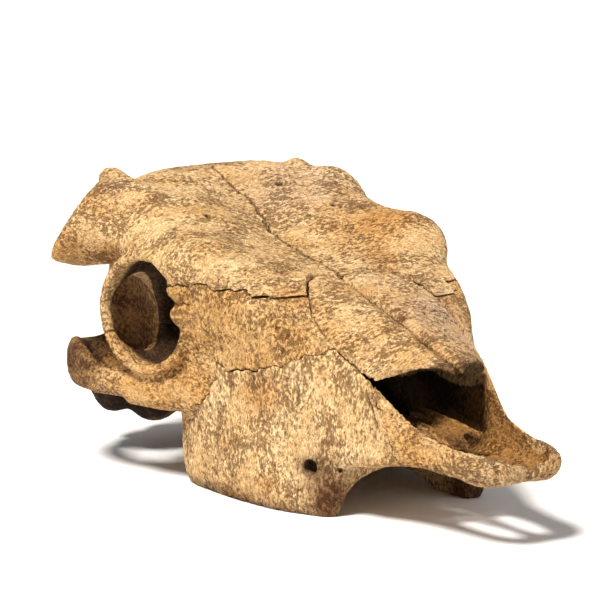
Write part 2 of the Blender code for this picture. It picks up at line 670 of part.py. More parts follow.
def main():
    for obj in list(bpy.data.objects):
        bpy.data.objects.remove(obj)
    rest = thinned(whole_skull(), FACES_WHOLE)
    cutters = [nasal_bed(), floor_cutter(), tip_notch_cutter(), worn_row_cutter()]
    for side in (*cheek_holes(), *tooth_sockets()):
        cutters += both(side)
    boolean(rest, cutters)
    left = nasal("nasal_left")
    right = mirrored(left)
    right.name = "nasal_right"
    for form in (rest, left, right):
        out_of_true(form)
    bones = bones_of_one_side(rest, "left", 1) + bones_of_one_side(rest, "right", -1)
    rest.name = "braincase"
    bones.append(largest(rest))
    finished([*bones, left, right, vomer()])


main()
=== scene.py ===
# %% [markdown]
# # A weathered buffalo skull
#
# The subject is the skull of a bison that has lain outdoors for years: no lower jaw, no teeth, both
# horn cores broken off near their bases, and a surface that rain and sun have eaten into pits. It
# stands on a pale floor like a museum piece, seen from its right front.
#
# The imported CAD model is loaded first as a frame. It says where each bone is and how large the whole
# is. Every bone is then made again with a much finer skin, and the plain CAD bone is hidden.

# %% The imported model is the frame
import itertools
import math

import bmesh
import bpy
import numpy as np
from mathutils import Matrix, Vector


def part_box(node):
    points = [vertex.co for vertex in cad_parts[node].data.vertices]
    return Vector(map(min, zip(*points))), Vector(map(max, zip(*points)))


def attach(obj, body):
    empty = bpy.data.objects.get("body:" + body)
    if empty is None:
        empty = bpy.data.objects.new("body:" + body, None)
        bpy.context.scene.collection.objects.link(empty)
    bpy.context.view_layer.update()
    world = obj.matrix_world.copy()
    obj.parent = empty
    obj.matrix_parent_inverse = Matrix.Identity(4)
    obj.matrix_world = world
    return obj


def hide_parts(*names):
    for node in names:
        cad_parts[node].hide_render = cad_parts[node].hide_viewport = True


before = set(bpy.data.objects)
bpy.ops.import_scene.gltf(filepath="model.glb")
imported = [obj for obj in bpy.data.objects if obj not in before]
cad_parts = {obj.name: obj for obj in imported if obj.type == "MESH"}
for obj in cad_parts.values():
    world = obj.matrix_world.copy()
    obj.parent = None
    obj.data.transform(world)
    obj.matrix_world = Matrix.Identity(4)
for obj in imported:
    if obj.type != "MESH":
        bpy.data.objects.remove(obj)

bpy.context.view_layer.update()

# %% [markdown]
# ## Sizes on the skull
#
# A skull is easiest to describe in its own terms: x is across it with the left side positive, y runs
# back from the muzzle's tip and z is the height above the floor, all in millimetres. The frame's
# origin lies in the middle of the whole box instead, so two numbers link them. They are read from
# nodes that lie on the midline and at the front of the nose.

# %% From skull millimetres to frame metres
MM = 0.001
NOSE_FRONT = 84        # the nasal bones start this far back from the muzzle's tip
vomer_low, vomer_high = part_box("vomer")
MIDLINE = (vomer_low.x + vomer_high.x) / 2 / MM
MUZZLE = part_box("nasal_right")[0].y / MM - NOSE_FRONT
TO_FRAME = np.array([MIDLINE, MUZZLE, 0])
print("midline at x =", round(MIDLINE, 2), "and muzzle's tip at y =", round(MUZZLE, 2), "mm in the frame")

# %% [markdown]
# ## Camera, floor and light
#
# The photo was taken with a long lens from the skull's right front, a little above it. A long lens
# flattens depth, so the camera stands two metres off and its view is only eleven degrees wide.
#
# The floor is a plain pale sheet far larger than the view. The light is one broad sun from the upper
# left, a weaker one from the right to open the shadows, and an even pale sky. A broad sun keeps its
# strength over the whole floor, where a lamp would leave a bright pool.

# %% Camera at the photo's angle
CAMERA_AZIMUTH, CAMERA_HEIGHT = math.radians(-33.4), math.radians(9.7)
CAMERA_DISTANCE = 2.118
CAMERA_LENS, CAMERA_SENSOR = 192, 36    # mm, which make a view of eleven degrees
VIEW_CENTRE = (-29.5, 221, 130)

backwards = Vector((math.sin(CAMERA_AZIMUTH) * math.cos(CAMERA_HEIGHT),
                    -math.cos(CAMERA_AZIMUTH) * math.cos(CAMERA_HEIGHT), math.sin(CAMERA_HEIGHT)))
camera = bpy.data.objects.new("camera", bpy.data.cameras.new("camera"))
camera.data.lens = CAMERA_LENS
camera.data.sensor_width = CAMERA_SENSOR
camera.data.clip_end = 60
camera.location = Vector((np.array(VIEW_CENTRE) + TO_FRAME) * MM) + backwards * CAMERA_DISTANCE
camera.rotation_euler = backwards.to_track_quat("Z", "Y").to_euler()
bpy.context.scene.collection.objects.link(camera)
bpy.context.scene.camera = camera
print("view width in degrees:", round(math.degrees(camera.data.angle), 1))

# %% Floor, two suns and the sky


def plain_material(name, colour, roughness):
    """One colour all over, for what isn't part of the skull."""
    made = bpy.data.materials.new(name)
    made.use_nodes = True
    shader = made.node_tree.nodes["Principled BSDF"]
    shader.inputs["Base Color"].default_value = (*colour, 1)
    shader.inputs["Roughness"].default_value = roughness
    return made


def sun(name, azimuth, height, strength, spread, colour=(1, 1, 1)):
    """A sun at a compass angle round the skull and a height over the floor, both in degrees."""
    a, h = math.radians(azimuth), math.radians(height)
    lamp = bpy.data.lights.new(name, "SUN")
    lamp.energy = strength
    lamp.angle = math.radians(spread)
    lamp.color = colour
    holder = bpy.data.objects.new(name, lamp)
    holder.rotation_euler = Vector((math.sin(a) * math.cos(h), -math.cos(a) * math.cos(h),
                                    math.sin(h))).to_track_quat("Z", "Y").to_euler()
    bpy.context.scene.collection.objects.link(holder)


FLOOR_HALF = 20
floor_mesh = bpy.data.meshes.new("floor")
floor_mesh.from_pydata([(-FLOOR_HALF, -FLOOR_HALF, 0), (FLOOR_HALF, -FLOOR_HALF, 0),
                        (FLOOR_HALF, FLOOR_HALF, 0), (-FLOOR_HALF, FLOOR_HALF, 0)], [], [(0, 1, 2, 3)])
floor_mesh.materials.append(plain_material("floor_paper", (0.9, 0.9, 0.9), 0.9))
floor = bpy.data.objects.new("floor", floor_mesh)
bpy.context.scene.collection.objects.link(floor)

sun("key_sun", -62, 56, 4.9, 13, (1, 0.95, 0.88))
sun("fill_sun", 25, 30, 0.35, 40)
sky = bpy.data.worlds.new("sky")
sky.use_nodes = True
sky.node_tree.nodes["Background"].inputs["Color"].default_value = (0.95, 0.97, 1, 1)
sky.node_tree.nodes["Background"].inputs["Strength"].default_value = 0.3
bpy.context.scene.world = sky
bpy.context.scene.view_settings.view_transform = "Standard"
print("floor, two suns and sky are in place")

# %% [markdown]
# ## Smooth curves through few points
#
# A bone's form is given by a handful of measured sections. Two kinds of curve turn those few points
# into many: one runs round a section, the other carries each of its points along the skull. Both work
# on whole arrays at once.

# %% Curves


def catmull_rom(points, count, closed):
    """Evenly spaced samples of the smooth curve through some points: each span is a cubic whose
    end slopes are half the difference between the neighbouring points."""
    p = np.asarray(points, float)
    n = len(p)
    spans = n if closed else n - 1
    t = np.linspace(0, spans, count, endpoint=not closed)
    i = np.minimum(t.astype(int), spans - 1)
    f = (t - i)[:, None]

    def at(k):
        return p[k % n] if closed else p[np.clip(k, 0, n - 1)]

    a, b, c, d = at(i - 1), at(i), at(i + 1), at(i + 2)
    return 0.5 * (2 * b + (c - a) * f + (2 * a - 5 * b + 4 * c - d) * f**2 + (3 * b - a - 3 * c + d) * f**3)


def along(stations, sizes, at):
    """Sizes between stations, by a cubic whose slope at each station is the mean slope around it."""
    s = np.asarray(stations, float)
    v = np.asarray(sizes, float)
    slope = np.gradient(v, s, axis=0)
    i = np.clip(np.searchsorted(s, at, side="right") - 1, 0, len(s) - 2)
    h = (s[i + 1] - s[i])[:, None]
    f = ((at - s[i]) / h[:, 0])[:, None]
    start = v[i] * (2 * f**3 - 3 * f**2 + 1) + slope[i] * h * (f**3 - 2 * f**2 + f)
    end = v[i + 1] * (3 * f**2 - 2 * f**3) + slope[i + 1] * h * (f**3 - f**2)
    return start + end


# %% [markdown]
# ## Skins
#
# Rings of points become a closed skin: each ring is joined to the next by a band of faces and the two
# ends are closed. Mirrored halves are made by turning the sign of x and working the outside out again,
# because a mirrored skin has its faces inside out.

# %% From points to closed skins


def mesh_object(name, points, faces):
    """An object from points in millimetres on the skull, with its faces turned outwards."""
    mesh = bpy.data.meshes.new(name)
    mesh.from_pydata((np.asarray(points, float) * MM).tolist(), [], faces)
    b = bmesh.new()
    b.from_mesh(mesh)
    bmesh.ops.recalc_face_normals(b, faces=b.faces)
    bmesh.ops.triangulate(b, faces=b.faces, quad_method="SHORT_EDGE")
    b.to_mesh(mesh)
    b.free()
    made = bpy.data.objects.new(name, mesh)
    bpy.context.scene.collection.objects.link(made)
    return made


def loft(name, rings):
    """A closed skin over rings of equal point counts, each end closed by one face."""
    rings = np.asarray(rings, float)
    m, n = rings.shape[:2]
    faces = [(i * n + j, i * n + (j + 1) % n, (i + 1) * n + (j + 1) % n, (i + 1) * n + j)
             for i in range(m - 1) for j in range(n)]
    faces += [tuple(range(n)), tuple(range((m - 1) * n, m * n))]
    return mesh_object(name, rings.reshape(-1, 3), faces)


def mirrored(obj):
    """The same form on the right side."""
    points = np.array([v.co for v in obj.data.vertices]) / MM * (-1, 1, 1)
    return mesh_object(obj.name + "_r", points, [list(p.vertices) for p in obj.data.polygons])


def both(obj):
    return [obj, mirrored(obj)]


def remove(objects):
    for obj in objects:
        bpy.data.objects.remove(obj)


# %% Three shapes that most forms are made of


def symmetric_body(name, table, step=3, count=140):
    """A body across the midline. Each station gives the right half of its section from the top
    midline to the bottom midline, and the other half mirrors it."""
    stations = sorted(table)
    halves = np.array([table[s] for s in stations], float)
    at = np.arange(stations[0], stations[-1] + step / 2, step)
    halves = along(stations, halves.reshape(len(stations), -1), at).reshape(len(at), -1, 2)
    rings = []
    for y, half in zip(at, halves):
        ring = np.vstack([half, (half * (-1, 1))[-2:0:-1]])
        curve = catmull_rom(ring, count, True)
        rings.append(np.column_stack([curve[:, 0], np.full(count, y), curve[:, 1]]))
    return loft(name, rings)


def tube(name, path, radii, flat=(0, 0, 1), count=36, step=2):
    """A closed tube along a path. Each radius pair is across and along the flat direction."""
    path = np.asarray(path, float)
    samples = max(6, int(np.linalg.norm(np.diff(path, axis=0), axis=1).sum() / step))
    centre = catmull_rom(path, samples, False)
    size = catmull_rom(radii, samples, False)
    ahead = np.gradient(centre, axis=0)
    ahead /= np.linalg.norm(ahead, axis=1)[:, None]
    across = np.cross(ahead, flat)
    across /= np.linalg.norm(across, axis=1)[:, None]
    up = np.cross(across, ahead)
    turn = np.linspace(0, 2 * math.pi, count, endpoint=False)
    rings = (centre[:, None] + across[:, None] * (np.cos(turn)[:, None] * size[:, None, :1])
             + up[:, None] * (np.sin(turn)[:, None] * size[:, None, 1:]))
    return loft(name, rings)


def ellipsoid(name, centre, radii, turn=0, tilt=0, count=28):
    """An ellipsoid, turned about z and then tilted about x, both in degrees: circles of latitude
    from one pole to just short of the other."""
    u = np.linspace(0, 2 * math.pi, 2 * count, endpoint=False)
    v = np.linspace(0.02, math.pi - 0.02, count)
    points = np.stack([np.outer(np.sin(v), np.cos(u)), np.outer(np.sin(v), np.sin(u)),
                       np.outer(np.cos(v), np.ones(2 * count))], axis=-1) * radii
    a, e = math.radians(turn), math.radians(tilt)
    about_z = np.array([[math.cos(a), -math.sin(a), 0], [math.sin(a), math.cos(a), 0], [0, 0, 1]])
    about_x = np.array([[1, 0, 0], [0, math.cos(e), -math.sin(e)], [0, math.sin(e), math.cos(e)]])
    return loft(name, points @ (about_x @ about_z).T + centre)


# %% [markdown]
# ## Melting forms together and cutting them
#
# Real bone has no creases where the face meets the forehead. Overlapping forms are laid on one fine
# grid, which keeps only their common outside, and then softened, so each joint becomes a rounded
# valley. What is hollow is cut afterwards, because cuts should stay crisper than joints.

# %% Blend and cut


def evaluated(obj):
    """The object's mesh as its modifiers leave it; the modifiers are then gone."""
    bpy.context.view_layer.update()
    mesh = bpy.data.meshes.new_from_object(obj.evaluated_get(bpy.context.evaluated_depsgraph_get()))
    obj.modifiers.clear()
    obj.data = mesh
    return obj


def blended(name, objects, voxel, smooth):
    """Several overlapping closed forms as one skin whose joints are rounded. A finer grid needs more
    softening steps for the same rounding: their number grows with the square of the refinement."""
    joined = bmesh.new()
    for part in objects:
        joined.from_mesh(part.data)
    mesh = bpy.data.meshes.new(name)
    joined.to_mesh(mesh)
    joined.free()
    remove(objects)
    whole = bpy.data.objects.new(name, mesh)
    bpy.context.scene.collection.objects.link(whole)
    remesh = whole.modifiers.new("Blend", "REMESH")
    remesh.mode = "VOXEL"
    remesh.voxel_size = voxel * MM
    soften = whole.modifiers.new("Soften", "SMOOTH")
    soften.factor = 0.5
    soften.iterations = smooth
    return evaluated(whole)


def boolean(obj, cutters, operation="DIFFERENCE", solver="MANIFOLD"):
    """Cuts, joins or keeps the object by each of some closed forms, which are then removed."""
    for cutter in cutters:
        step = obj.modifiers.new("Cut", "BOOLEAN")
        step.operation = operation
        step.solver = solver
        step.object = cutter
    evaluated(obj)
    remove(cutters)
    return obj


# %% [markdown]
# ## The head's great forms
#
# Three long bodies make the head: the face from the muzzle to the cheeks, the broad forehead, and the
# box that held the brain with its plate for the neck muscles. Every number is a distance on the skull,
# so one section can be changed without touching another.

# %% Face
ORBIT_CENTRE = (105, 293.5, 118)
ORBIT_HALF = (31, 35)           # half length and half height of the eye's opening
ORBIT_TURN = 20               # degrees that the opening faces forwards
RIM = 4.2                     # half thickness of the bony ring round the eye


def face():
    """Muzzle, cheeks and upper jaw. Half sections: top, shoulder, upper cheek, lower cheek, lower
    edge, bottom."""
    return symmetric_body("face", {
        3: [(0, 52), (8, 54), (15, 55), (18, 51), (13, 47), (0, 48)],
        9: [(0, 55), (17, 58), (25, 57), (26, 50), (18, 43), (0, 44)],
        20: [(0, 58), (25, 61), (32, 57), (32, 49), (23, 40), (0, 41)],
        50: [(0, 61), (31, 63), (36, 57), (37, 50), (29, 42), (0, 42)],
        85: [(0, 72), (36, 72), (41, 62), (43, 52), (36, 43), (0, 43)],
        104: [(0, 84), (41, 84), (45, 72), (46, 53), (43, 40), (0, 42)],
        116: [(0, 112), (42, 96), (46, 78), (49, 54), (47, 37), (0, 40)],
        136: [(0, 120), (44, 104), (51, 89), (54, 51), (51, 31), (0, 36)],
        148: [(0, 124), (45, 109), (56, 94), (57, 46), (54, 0), (0, 12)],
        160: [(0, 128), (47, 115), (62, 100), (63, 48), (60, -2), (0, 6)],
        180: [(0, 134), (48, 125), (72, 113), (71, 54), (69, -2), (0, 4)],
        202: [(0, 141), (48, 142), (80, 130), (79, 66), (73, -2), (0, 4)],
        228: [(0, 147), (50, 151), (90, 139), (86, 76), (76, -2), (0, 4)],
        254: [(0, 152), (52, 158), (95, 140), (89, 80), (76, -2), (0, 4)],
        280: [(0, 158), (60, 162), (94, 130), (85, 64), (74, -2), (0, 4)],
        292: [(0, 162), (64, 162), (90, 124), (80, 60), (69, 2), (0, 6)],
        302: [(0, 165), (64, 160), (82, 120), (72, 68), (50, 44), (0, 40)],
        314: [(0, 168), (58, 156), (72, 124), (54, 88), (32, 64), (0, 56)],
    })


# %% Forehead and braincase


def forehead():
    """The broad roof from the nose's root to the crest behind the horns. Half sections: top, inner
    and outer roof, side, lower side, bottom."""
    return symmetric_body("forehead", {
        205: [(0, 142), (30, 147), (58, 141), (66, 128), (40, 108), (0, 100)],
        235: [(0, 149), (36, 153), (80, 158), (96, 140), (60, 106), (0, 96)],
        262: [(0, 155), (40, 161), (84, 171), (104, 148), (72, 110), (0, 96)],
        284: [(0, 161), (44, 171), (90, 172), (108, 146), (80, 116), (0, 96)],
        305: [(0, 169), (48, 181), (90, 176), (108, 148), (80, 124), (0, 96)],
        340: [(0, 185), (46, 193), (82, 190), (106, 164), (78, 138), (0, 96)],
        366: [(0, 200), (42, 202), (76, 193), (100, 168), (76, 142), (0, 96)],
        392: [(0, 200), (44, 197), (70, 186), (84, 164), (68, 142), (0, 96)],
        418: [(0, 184), (40, 180), (60, 172), (70, 156), (58, 136), (0, 96)],
    })


def braincase():
    """The brain's box, the ear region and the broad plate at the back."""
    forms = [ellipsoid("brain", (0, 366, 118), (60, 70, 68))]
    forms.append(symmetric_body("base", {
        300: [(0, 112), (18, 110), (26, 84), (20, 56), (10, 48), (0, 48)],
        332: [(0, 120), (32, 112), (40, 78), (28, 46), (12, 37), (0, 37)],
        370: [(0, 120), (44, 114), (58, 82), (48, 44), (20, 29), (0, 29)],
        410: [(0, 120), (50, 122), (60, 86), (58, 50), (24, 24), (0, 24)],
        428: [(0, 140), (44, 132), (52, 90), (54, 58), (26, 28), (0, 28)],
    }))
    forms.append(symmetric_body("nape", {
        394: [(0, 193), (46, 182), (70, 150), (76, 102), (56, 48), (0, 40)],
        412: [(0, 191), (44, 178), (62, 146), (66, 104), (58, 50), (0, 42)],
        426: [(0, 181), (38, 168), (50, 142), (55, 104), (52, 58), (0, 46)],
        432: [(0, 162), (30, 152), (38, 128), (42, 102), (40, 66), (0, 50)],
    }))
    return forms


# %% [markdown]
# ## Horns, eyes and cheekbones
#
# Both horn cores are broken. The right one ends in a long oblique break and the left one is shorter;
# on both a knob of the burr, the rough ring round a horn's base, is left on the upper edge. The eye
# opening is a short round tube with a raised rim, and two blunt lobes of the lacrimal bone reach into
# it from the front.

# %% Horn cores
# Each horn's broken end: its middle, its half length and the middle of the burr's knob above it
HORN_BREAK_RIGHT = ((112.5, 372, 173.5), 36.5, (88, 366, 200))
HORN_BREAK_LEFT = ((84, 366, 168), 33, (62, 364, 197))


def horn_base(end, half, burr):
    """The stump of the left horn core: it leaves the forehead sideways and ends in an oblique break,
    with a knob of the burr left on its upper edge."""
    end = np.array(end, float)
    long_way = np.array([-0.66, -0.03, 0.75])
    short_way = np.array([0.507, -0.743, 0.417])
    turn = np.linspace(0, 2 * math.pi, 40, endpoint=False)
    starts = [((56, 352, 168), (0, 0, 1), (0, -1, 0), 26, 44),
              ((78, 353, 170), (-0.15, 0, 0.99), (0.1, -0.99, 0), 29, 38),
              ((94, 361, 170), (-0.42, 0.0, 0.9), (0.25, -0.93, 0.25), 34, 31)]
    rings = [np.array(c, float) + np.outer(np.cos(turn) * tall, up) + np.outer(np.sin(turn) * wide, out)
             for c, up, out, tall, wide in starts]
    rings.append(end + np.outer(np.cos(turn) * half, long_way) + np.outer(np.sin(turn) * 27, short_way))
    return [loft("horn", rings), ellipsoid("burr", burr, (9, 12, 8), turn=-20)]


# %% Eye opening


def orbit_frame():
    """The eye opening's centre, its backward direction, up, and its outward normal."""
    a = math.radians(ORBIT_TURN)
    back = np.array([math.sin(a), math.cos(a), 0])
    up = np.array([0, 0, 1.0])
    return np.array(ORBIT_CENTRE, float), back, up, np.cross(back, up)


def orbit_loft(name, depths, scales, shifts):
    """A body whose sections are ellipses parallel to the eye's opening, at depths along its normal."""
    centre, back, up, out = orbit_frame()
    turn = np.linspace(0, 2 * math.pi, 48, endpoint=False)
    rings = [centre + out * d + np.array(shift)
             + np.outer(np.cos(turn) * half_length, back) + np.outer(np.sin(turn) * half_height, up)
             for d, (half_length, half_height), shift in zip(depths, scales, shifts)]
    return loft(name, rings)


def orbit_barrel():
    """The short tube of bone that carries the eye's rim out from the face and forehead."""
    a, b = ORBIT_HALF
    return orbit_loft("barrel", (1, -14, -40, -64),
                      ((a + 5, b + 5), (a + 8, b + 8), (a + 15, b + 13), (a + 18, b + 14)),
                      ((0, 0, 0), (0, 0, 0), (0, 2, 2), (0, 4, 4)))


def orbit_rim():
    """The ring round the eye, with the bar behind it that closes it."""
    centre, back, up, out = orbit_frame()
    a, b = ORBIT_HALF
    turn = np.linspace(0, 2 * math.pi, 56, endpoint=False)
    small = np.linspace(0, 2 * math.pi, 14, endpoint=False)
    radial = np.outer(np.cos(turn), back) + np.outer(np.sin(turn), up)
    middle = centre + np.outer(np.cos(turn) * (a + RIM), back) + np.outer(np.sin(turn) * (b + RIM), up)
    rings = (middle[:, None] + radial[:, None] * (np.cos(small)[:, None] * RIM)
             + out * (np.sin(small)[:, None] * RIM * 1.3))
    m, n = rings.shape[:2]
    faces = [(i * n + j, i * n + (j + 1) % n, (i + 1) % m * n + (j + 1) % n, (i + 1) % m * n + j)
             for i in range(m) for j in range(n)]
    return mesh_object("rim", rings.reshape(-1, 3), faces)


def lacrimal_lobes():
    """Two blunt lobes on the front rim that reach into the eye's opening."""
    return [ellipsoid("upper_lobe", (99, 265, 137), (6, 11, 7.5), turn=10),
            ellipsoid("lower_lobe", (98, 263, 120), (6, 10, 7.5), turn=10)]


# %% Cheekbones, wings of the palate, ears and nape


def cheek_arch():
    """The cheekbone under the eye and the arch that runs back from it to the ear region."""
    jugal = tube("jugal", [(64, 226, 74), (80, 252, 70), (92, 285, 64), (106, 316, 62)],
                 [(8, 10), (12, 16), (11, 13), (8, 10)])
    arch = tube("arch", [(98, 298, 66), (110, 326, 66), (115, 345, 67), (116, 361, 72), (112, 376, 74),
                         (98, 391, 72), (66, 398, 72)],
                [(8, 11), (6.5, 10), (5.5, 11.5), (6, 16), (7, 17), (9, 14), (14, 14)])
    return [jugal, arch]


def pterygoid():
    """The thin wing behind the palate, whose hooked tip reaches the floor."""
    return tube("pterygoid", [(22, 318, 84), (25, 320, 56), (28, 322, 28), (29, 324, 4), (29, 325, -6)],
                [(7, 22), (6, 19), (5, 13), (5, 9), (5, 9)], flat=(0, 1, 0))


def ear_and_nape_knobs():
    """Ear capsule, jaw socket, side process of the nape and the condyle beside the spine's hole."""
    return [ellipsoid("bulla", (42, 390, 43), (21, 22, 23)),
            ellipsoid("jaw_socket", (68, 378, 62), (22, 18, 13)),
            ellipsoid("ear_side", (68, 401, 56), (19, 18, 29)),
            tube("side_process", [(56, 418, 74), (57, 424, 50), (55, 428, 26)],
                 [(12, 13), (9, 10), (5, 6)], flat=(0, 1, 0)),
            ellipsoid("condyle", (22, 432, 38), (14, 17, 22), tilt=-15)]


# %% [markdown]
# ## Hollows
#
# A skull is as much holes as bone. Each hollow is a closed form that is taken away: eye sockets, the
# hollows of the temples, the nose's passage, the vault of the palate, the holes behind it and the one
# for the spinal cord, and the slits in the muzzle's floor.

# %% Cutters of the main hollows


def eye_socket_cutter():
    """The eye's hollow: it narrows inwards and back from the rim."""
    a, b = ORBIT_HALF
    return orbit_loft("socket", (30, 0, -18, -40, -58, -68),
                      ((a + 1, b + 1), (a, b), (a + 1, b + 1), (a - 4, b - 6), (a - 14, b - 18),
                       (a - 26, b - 31)),
                      ((0, 0, 0), (0, 0, 0), (0, 1, 0), (0, 5, -1), (0, 9, -2), (0, 10, -2)))


def temporal_cutters():
    """The hollow behind the eye's bar, under the horn, open sideways and downwards, and the way from
    the eye's hollow into it behind the bar."""
    return [ellipsoid("temple", (98, 361, 97), (41, 30, 46)),
            ellipsoid("temple_way", (90, 330, 112), (26, 26, 27), turn=-15)]


def nose_cutter():
    """The nose's passage: open on top of the muzzle, roofed further back. Half sections: top,
    shoulder, side, floor corner, floor."""
    return symmetric_body("passage", {
        8: [(0, 90), (14, 90), (16, 66), (12, 53), (0, 51)],
        24: [(0, 100), (24, 100), (26, 64), (20, 49), (0, 48)],
        60: [(0, 112), (30, 112), (32, 68), (26, 47), (0, 45)],
        92: [(0, 122), (37, 120), (36, 72), (29, 46), (0, 44)],
        114: [(0, 124), (42, 108), (39, 76), (31, 45), (0, 44)],
        136: [(0, 120), (38, 100), (37, 76), (30, 45), (0, 44)],
        165: [(0, 130), (36, 112), (34, 80), (28, 49), (0, 47)],
        200: [(0, 132), (30, 124), (30, 86), (24, 56), (0, 53)],
        232: [(0, 132), (22, 120), (22, 94), (18, 68), (0, 64)],
        254: [(0, 118), (11, 112), (11, 98), (9, 84), (0, 80)],
    })


def palate_cutter():
    """The vault between the tooth rows, opening backwards under the skull's base."""
    return symmetric_body("vault", {
        128: [(0, 28), (26, 26), (44, 18), (48, -6), (28, -14), (0, -14)],
        146: [(0, 30), (26, 29), (42, 18), (45, -6), (26, -14), (0, -14)],
        164: [(0, 31), (28, 30), (43, 18), (45, -6), (26, -14), (0, -14)],
        200: [(0, 33), (29, 31), (43, 18), (46, -6), (26, -14), (0, -14)],
        250: [(0, 34), (29, 32), (44, 18), (47, -6), (26, -14), (0, -14)],
        284: [(0, 34), (27, 32), (41, 18), (44, -6), (26, -14), (0, -14)],
        306: [(0, 42), (22, 40), (34, 24), (38, -6), (24, -14), (0, -14)],
    })


def choana_cutter():
    """The nose's way out behind the palate, between the pterygoid wings."""
    return tube("choana", [(0, 284, 18), (0, 300, 40), (0, 312, 58), (0, 300, 78)],
                [(16, 16), (16, 16), (15, 14), (10, 8)], flat=(0, 1, 0.3))


def spine_hole_cutter():
    """The hole for the spinal cord, as deep as it is seen into."""
    return tube("spine_hole", [(0, 470, 46), (0, 430, 60), (0, 408, 76), (0, 392, 90)],
                [(17, 15), (17, 16), (20, 18), (12, 12)])


def palatine_slit_cutter():
    """The slit beside the midline in the muzzle's floor."""
    return tube("slit", [(10, 24, 44), (12, 45, 43), (14, 76, 42)], [(4, 16), (7, 16), (4, 16)])


# %% Cutters of the small hollows


def box(name, low, high):
    corners = [(x, y, z) for x in (low[0], high[0]) for y in (low[1], high[1]) for z in (low[2], high[2])]
    return mesh_object(name, corners, [(0, 1, 3, 2), (4, 6, 7, 5), (0, 4, 5, 1), (2, 3, 7, 6), (0, 2, 6, 4),
                                       (1, 5, 7, 3)])


def tip_notch_cutter():
    """The notch in the muzzle's tip between its two bones."""
    return ellipsoid("notch", (0, 6, 61), (4.5, 20, 12))


def worn_row_cutter():
    """What has broken off the left tooth row's edge, behind its front end."""
    return ellipsoid("worn", (62, 222, -6), (30, 58, 18))


def floor_cutter():
    """All that lies below the floor, so that the skull rests on small flats at one level."""
    return box("floor", (-200, -60, -40), (200, 520, 0))


def cheek_holes():
    """The two nerve holes low on the left cheek."""
    return [tube("nerve_hole", [(66, 157, 32), (54, 165, 33), (42, 178, 36)],
                 [(5.5, 5.5), (4.6, 4.6), (3, 3)], count=14, step=6),
            tube("small_hole", [(56, 137, 33), (48, 141, 34), (42, 145, 36)],
                 [(2.4, 2.4), (2.1, 2.1), (1.5, 1.5)], count=10, step=6)]


def tooth_sockets():
    """Six empty sockets in the left tooth row, each a hollow that narrows upwards."""
    rows = list(TOOTH_ROW_EDGES)
    turn = np.linspace(0, 2 * math.pi, 10, endpoint=False)
    across = np.sign(np.cos(turn)) * np.abs(np.cos(turn))**0.6
    ahead = np.sign(np.sin(turn)) * np.abs(np.sin(turn))**0.6
    start = TOOTH_ROW[0] + 3.5
    sockets = []
    for length in TEETH:
        middle = start + length / 2
        outer, inner = along(rows, [TOOTH_ROW_EDGES[row] for row in rows], np.array([middle]))[0]
        wide = (outer - inner) / 2 - 3
        rings = [np.column_stack([(outer + inner) / 2 + across * wide * k,
                                  middle + ahead * (length / 2 - 1) * k, np.full(len(turn), z)])
                 for z, k in ((-3, 1.0), (14, 0.6))]
        sockets.append(loft("socket", rings))
        start += length + 1.3
    return sockets


# %% [markdown]
# ## One skull, before it is parted
#
# The order matters. The great forms are melted together first, with deep softening. The eye sockets
# and temples are cut, and only then are the thin rims and arches added, with light softening, so that
# they stay slender.

# %% Sizes of the tooth row
TOOTH_ROW = (147, 292)        # front and back of the upper jaw's tooth row
TEETH = (10, 15, 17, 26, 30, 36)   # socket lengths from front to back
TOOTH_ROW_EDGES = {           # outer and inner edge of the row at distances from the muzzle
    147: (54, 44), 160: (60, 44), 180: (69, 45), 202: (73, 46), 228: (76, 47), 254: (76, 47),
    280: (74, 45), 292: (69, 43)}

# %% The whole skull
GRID = 1.8


def whole_skull():
    """All of the skull but its nasal bones and the vomer, as one blended skin."""
    forms = [face(), forehead(), *braincase(), *both(orbit_barrel())]
    forms += horn_base(*HORN_BREAK_LEFT)
    right = horn_base(*HORN_BREAK_RIGHT)
    forms += [mirrored(form) for form in right]
    remove(right)
    for side in ear_and_nape_knobs():
        forms += both(side)
    skull = blended("skull", forms, GRID, 21)
    cutters = [palate_cutter()]
    for side in (eye_socket_cutter(), *temporal_cutters()):
        cutters += both(side)
    boolean(skull, cutters)
    extra = []
    for side in (orbit_rim(), *lacrimal_lobes(), *cheek_arch(), pterygoid()):
        extra += both(side)
    skull = blended("skull_and_arches", [skull, *extra], GRID, 10)
    cutters = [nose_cutter(), choana_cutter(), spine_hole_cutter(), *both(palatine_slit_cutter()),
               floor_cutter(), tip_notch_cutter(), worn_row_cutter()]
    for side in (*cheek_holes(), *tooth_sockets()):
        cutters += both(side)
    return boolean(skull, cutters)


rest = whole_skull()
print("whole skull:", len(rest.data.polygons), "faces")

# %% [markdown]
# ## Nasal bones and the vomer
#
# The two nasal bones roof the nose like a pair of long roof tiles. Their undersides show from the
# front, so they are closed plates with a real thickness. Along the midline they fall away into a
# groove, and their front edges are broken: small bites are taken out of them.
#
# The vomer is the keel of the nose. What shows of it is a strip with two ridges and a blunt end.

# %% Nasal bones
NASAL_THICKNESS = 5
NASAL_SIZES = {               # half width, midline height, and fall from it at 46 mm out
    84: (7, 106, 14), 90: (14, 108, 18), 98: (24, 110, 21), 106: (34, 112, 22), 114: (42, 114.5, 22),
    122: (44, 117, 21), 146: (46, 125, 18), 165: (47, 130.5, 14), 182: (45, 135, 9),
    200: (37, 141, 3), 212: (29, 144, 0), 218: (20, 146, 0)}
NASAL_STATIONS = np.linspace(84, 218, 90)


def nasal_size(y):
    """Half width, midline height and fall of the nasal bones at one distance from the muzzle."""
    rows = list(NASAL_SIZES)
    return [np.interp(y, rows, [NASAL_SIZES[row][k] for row in rows]) for k in range(3)]


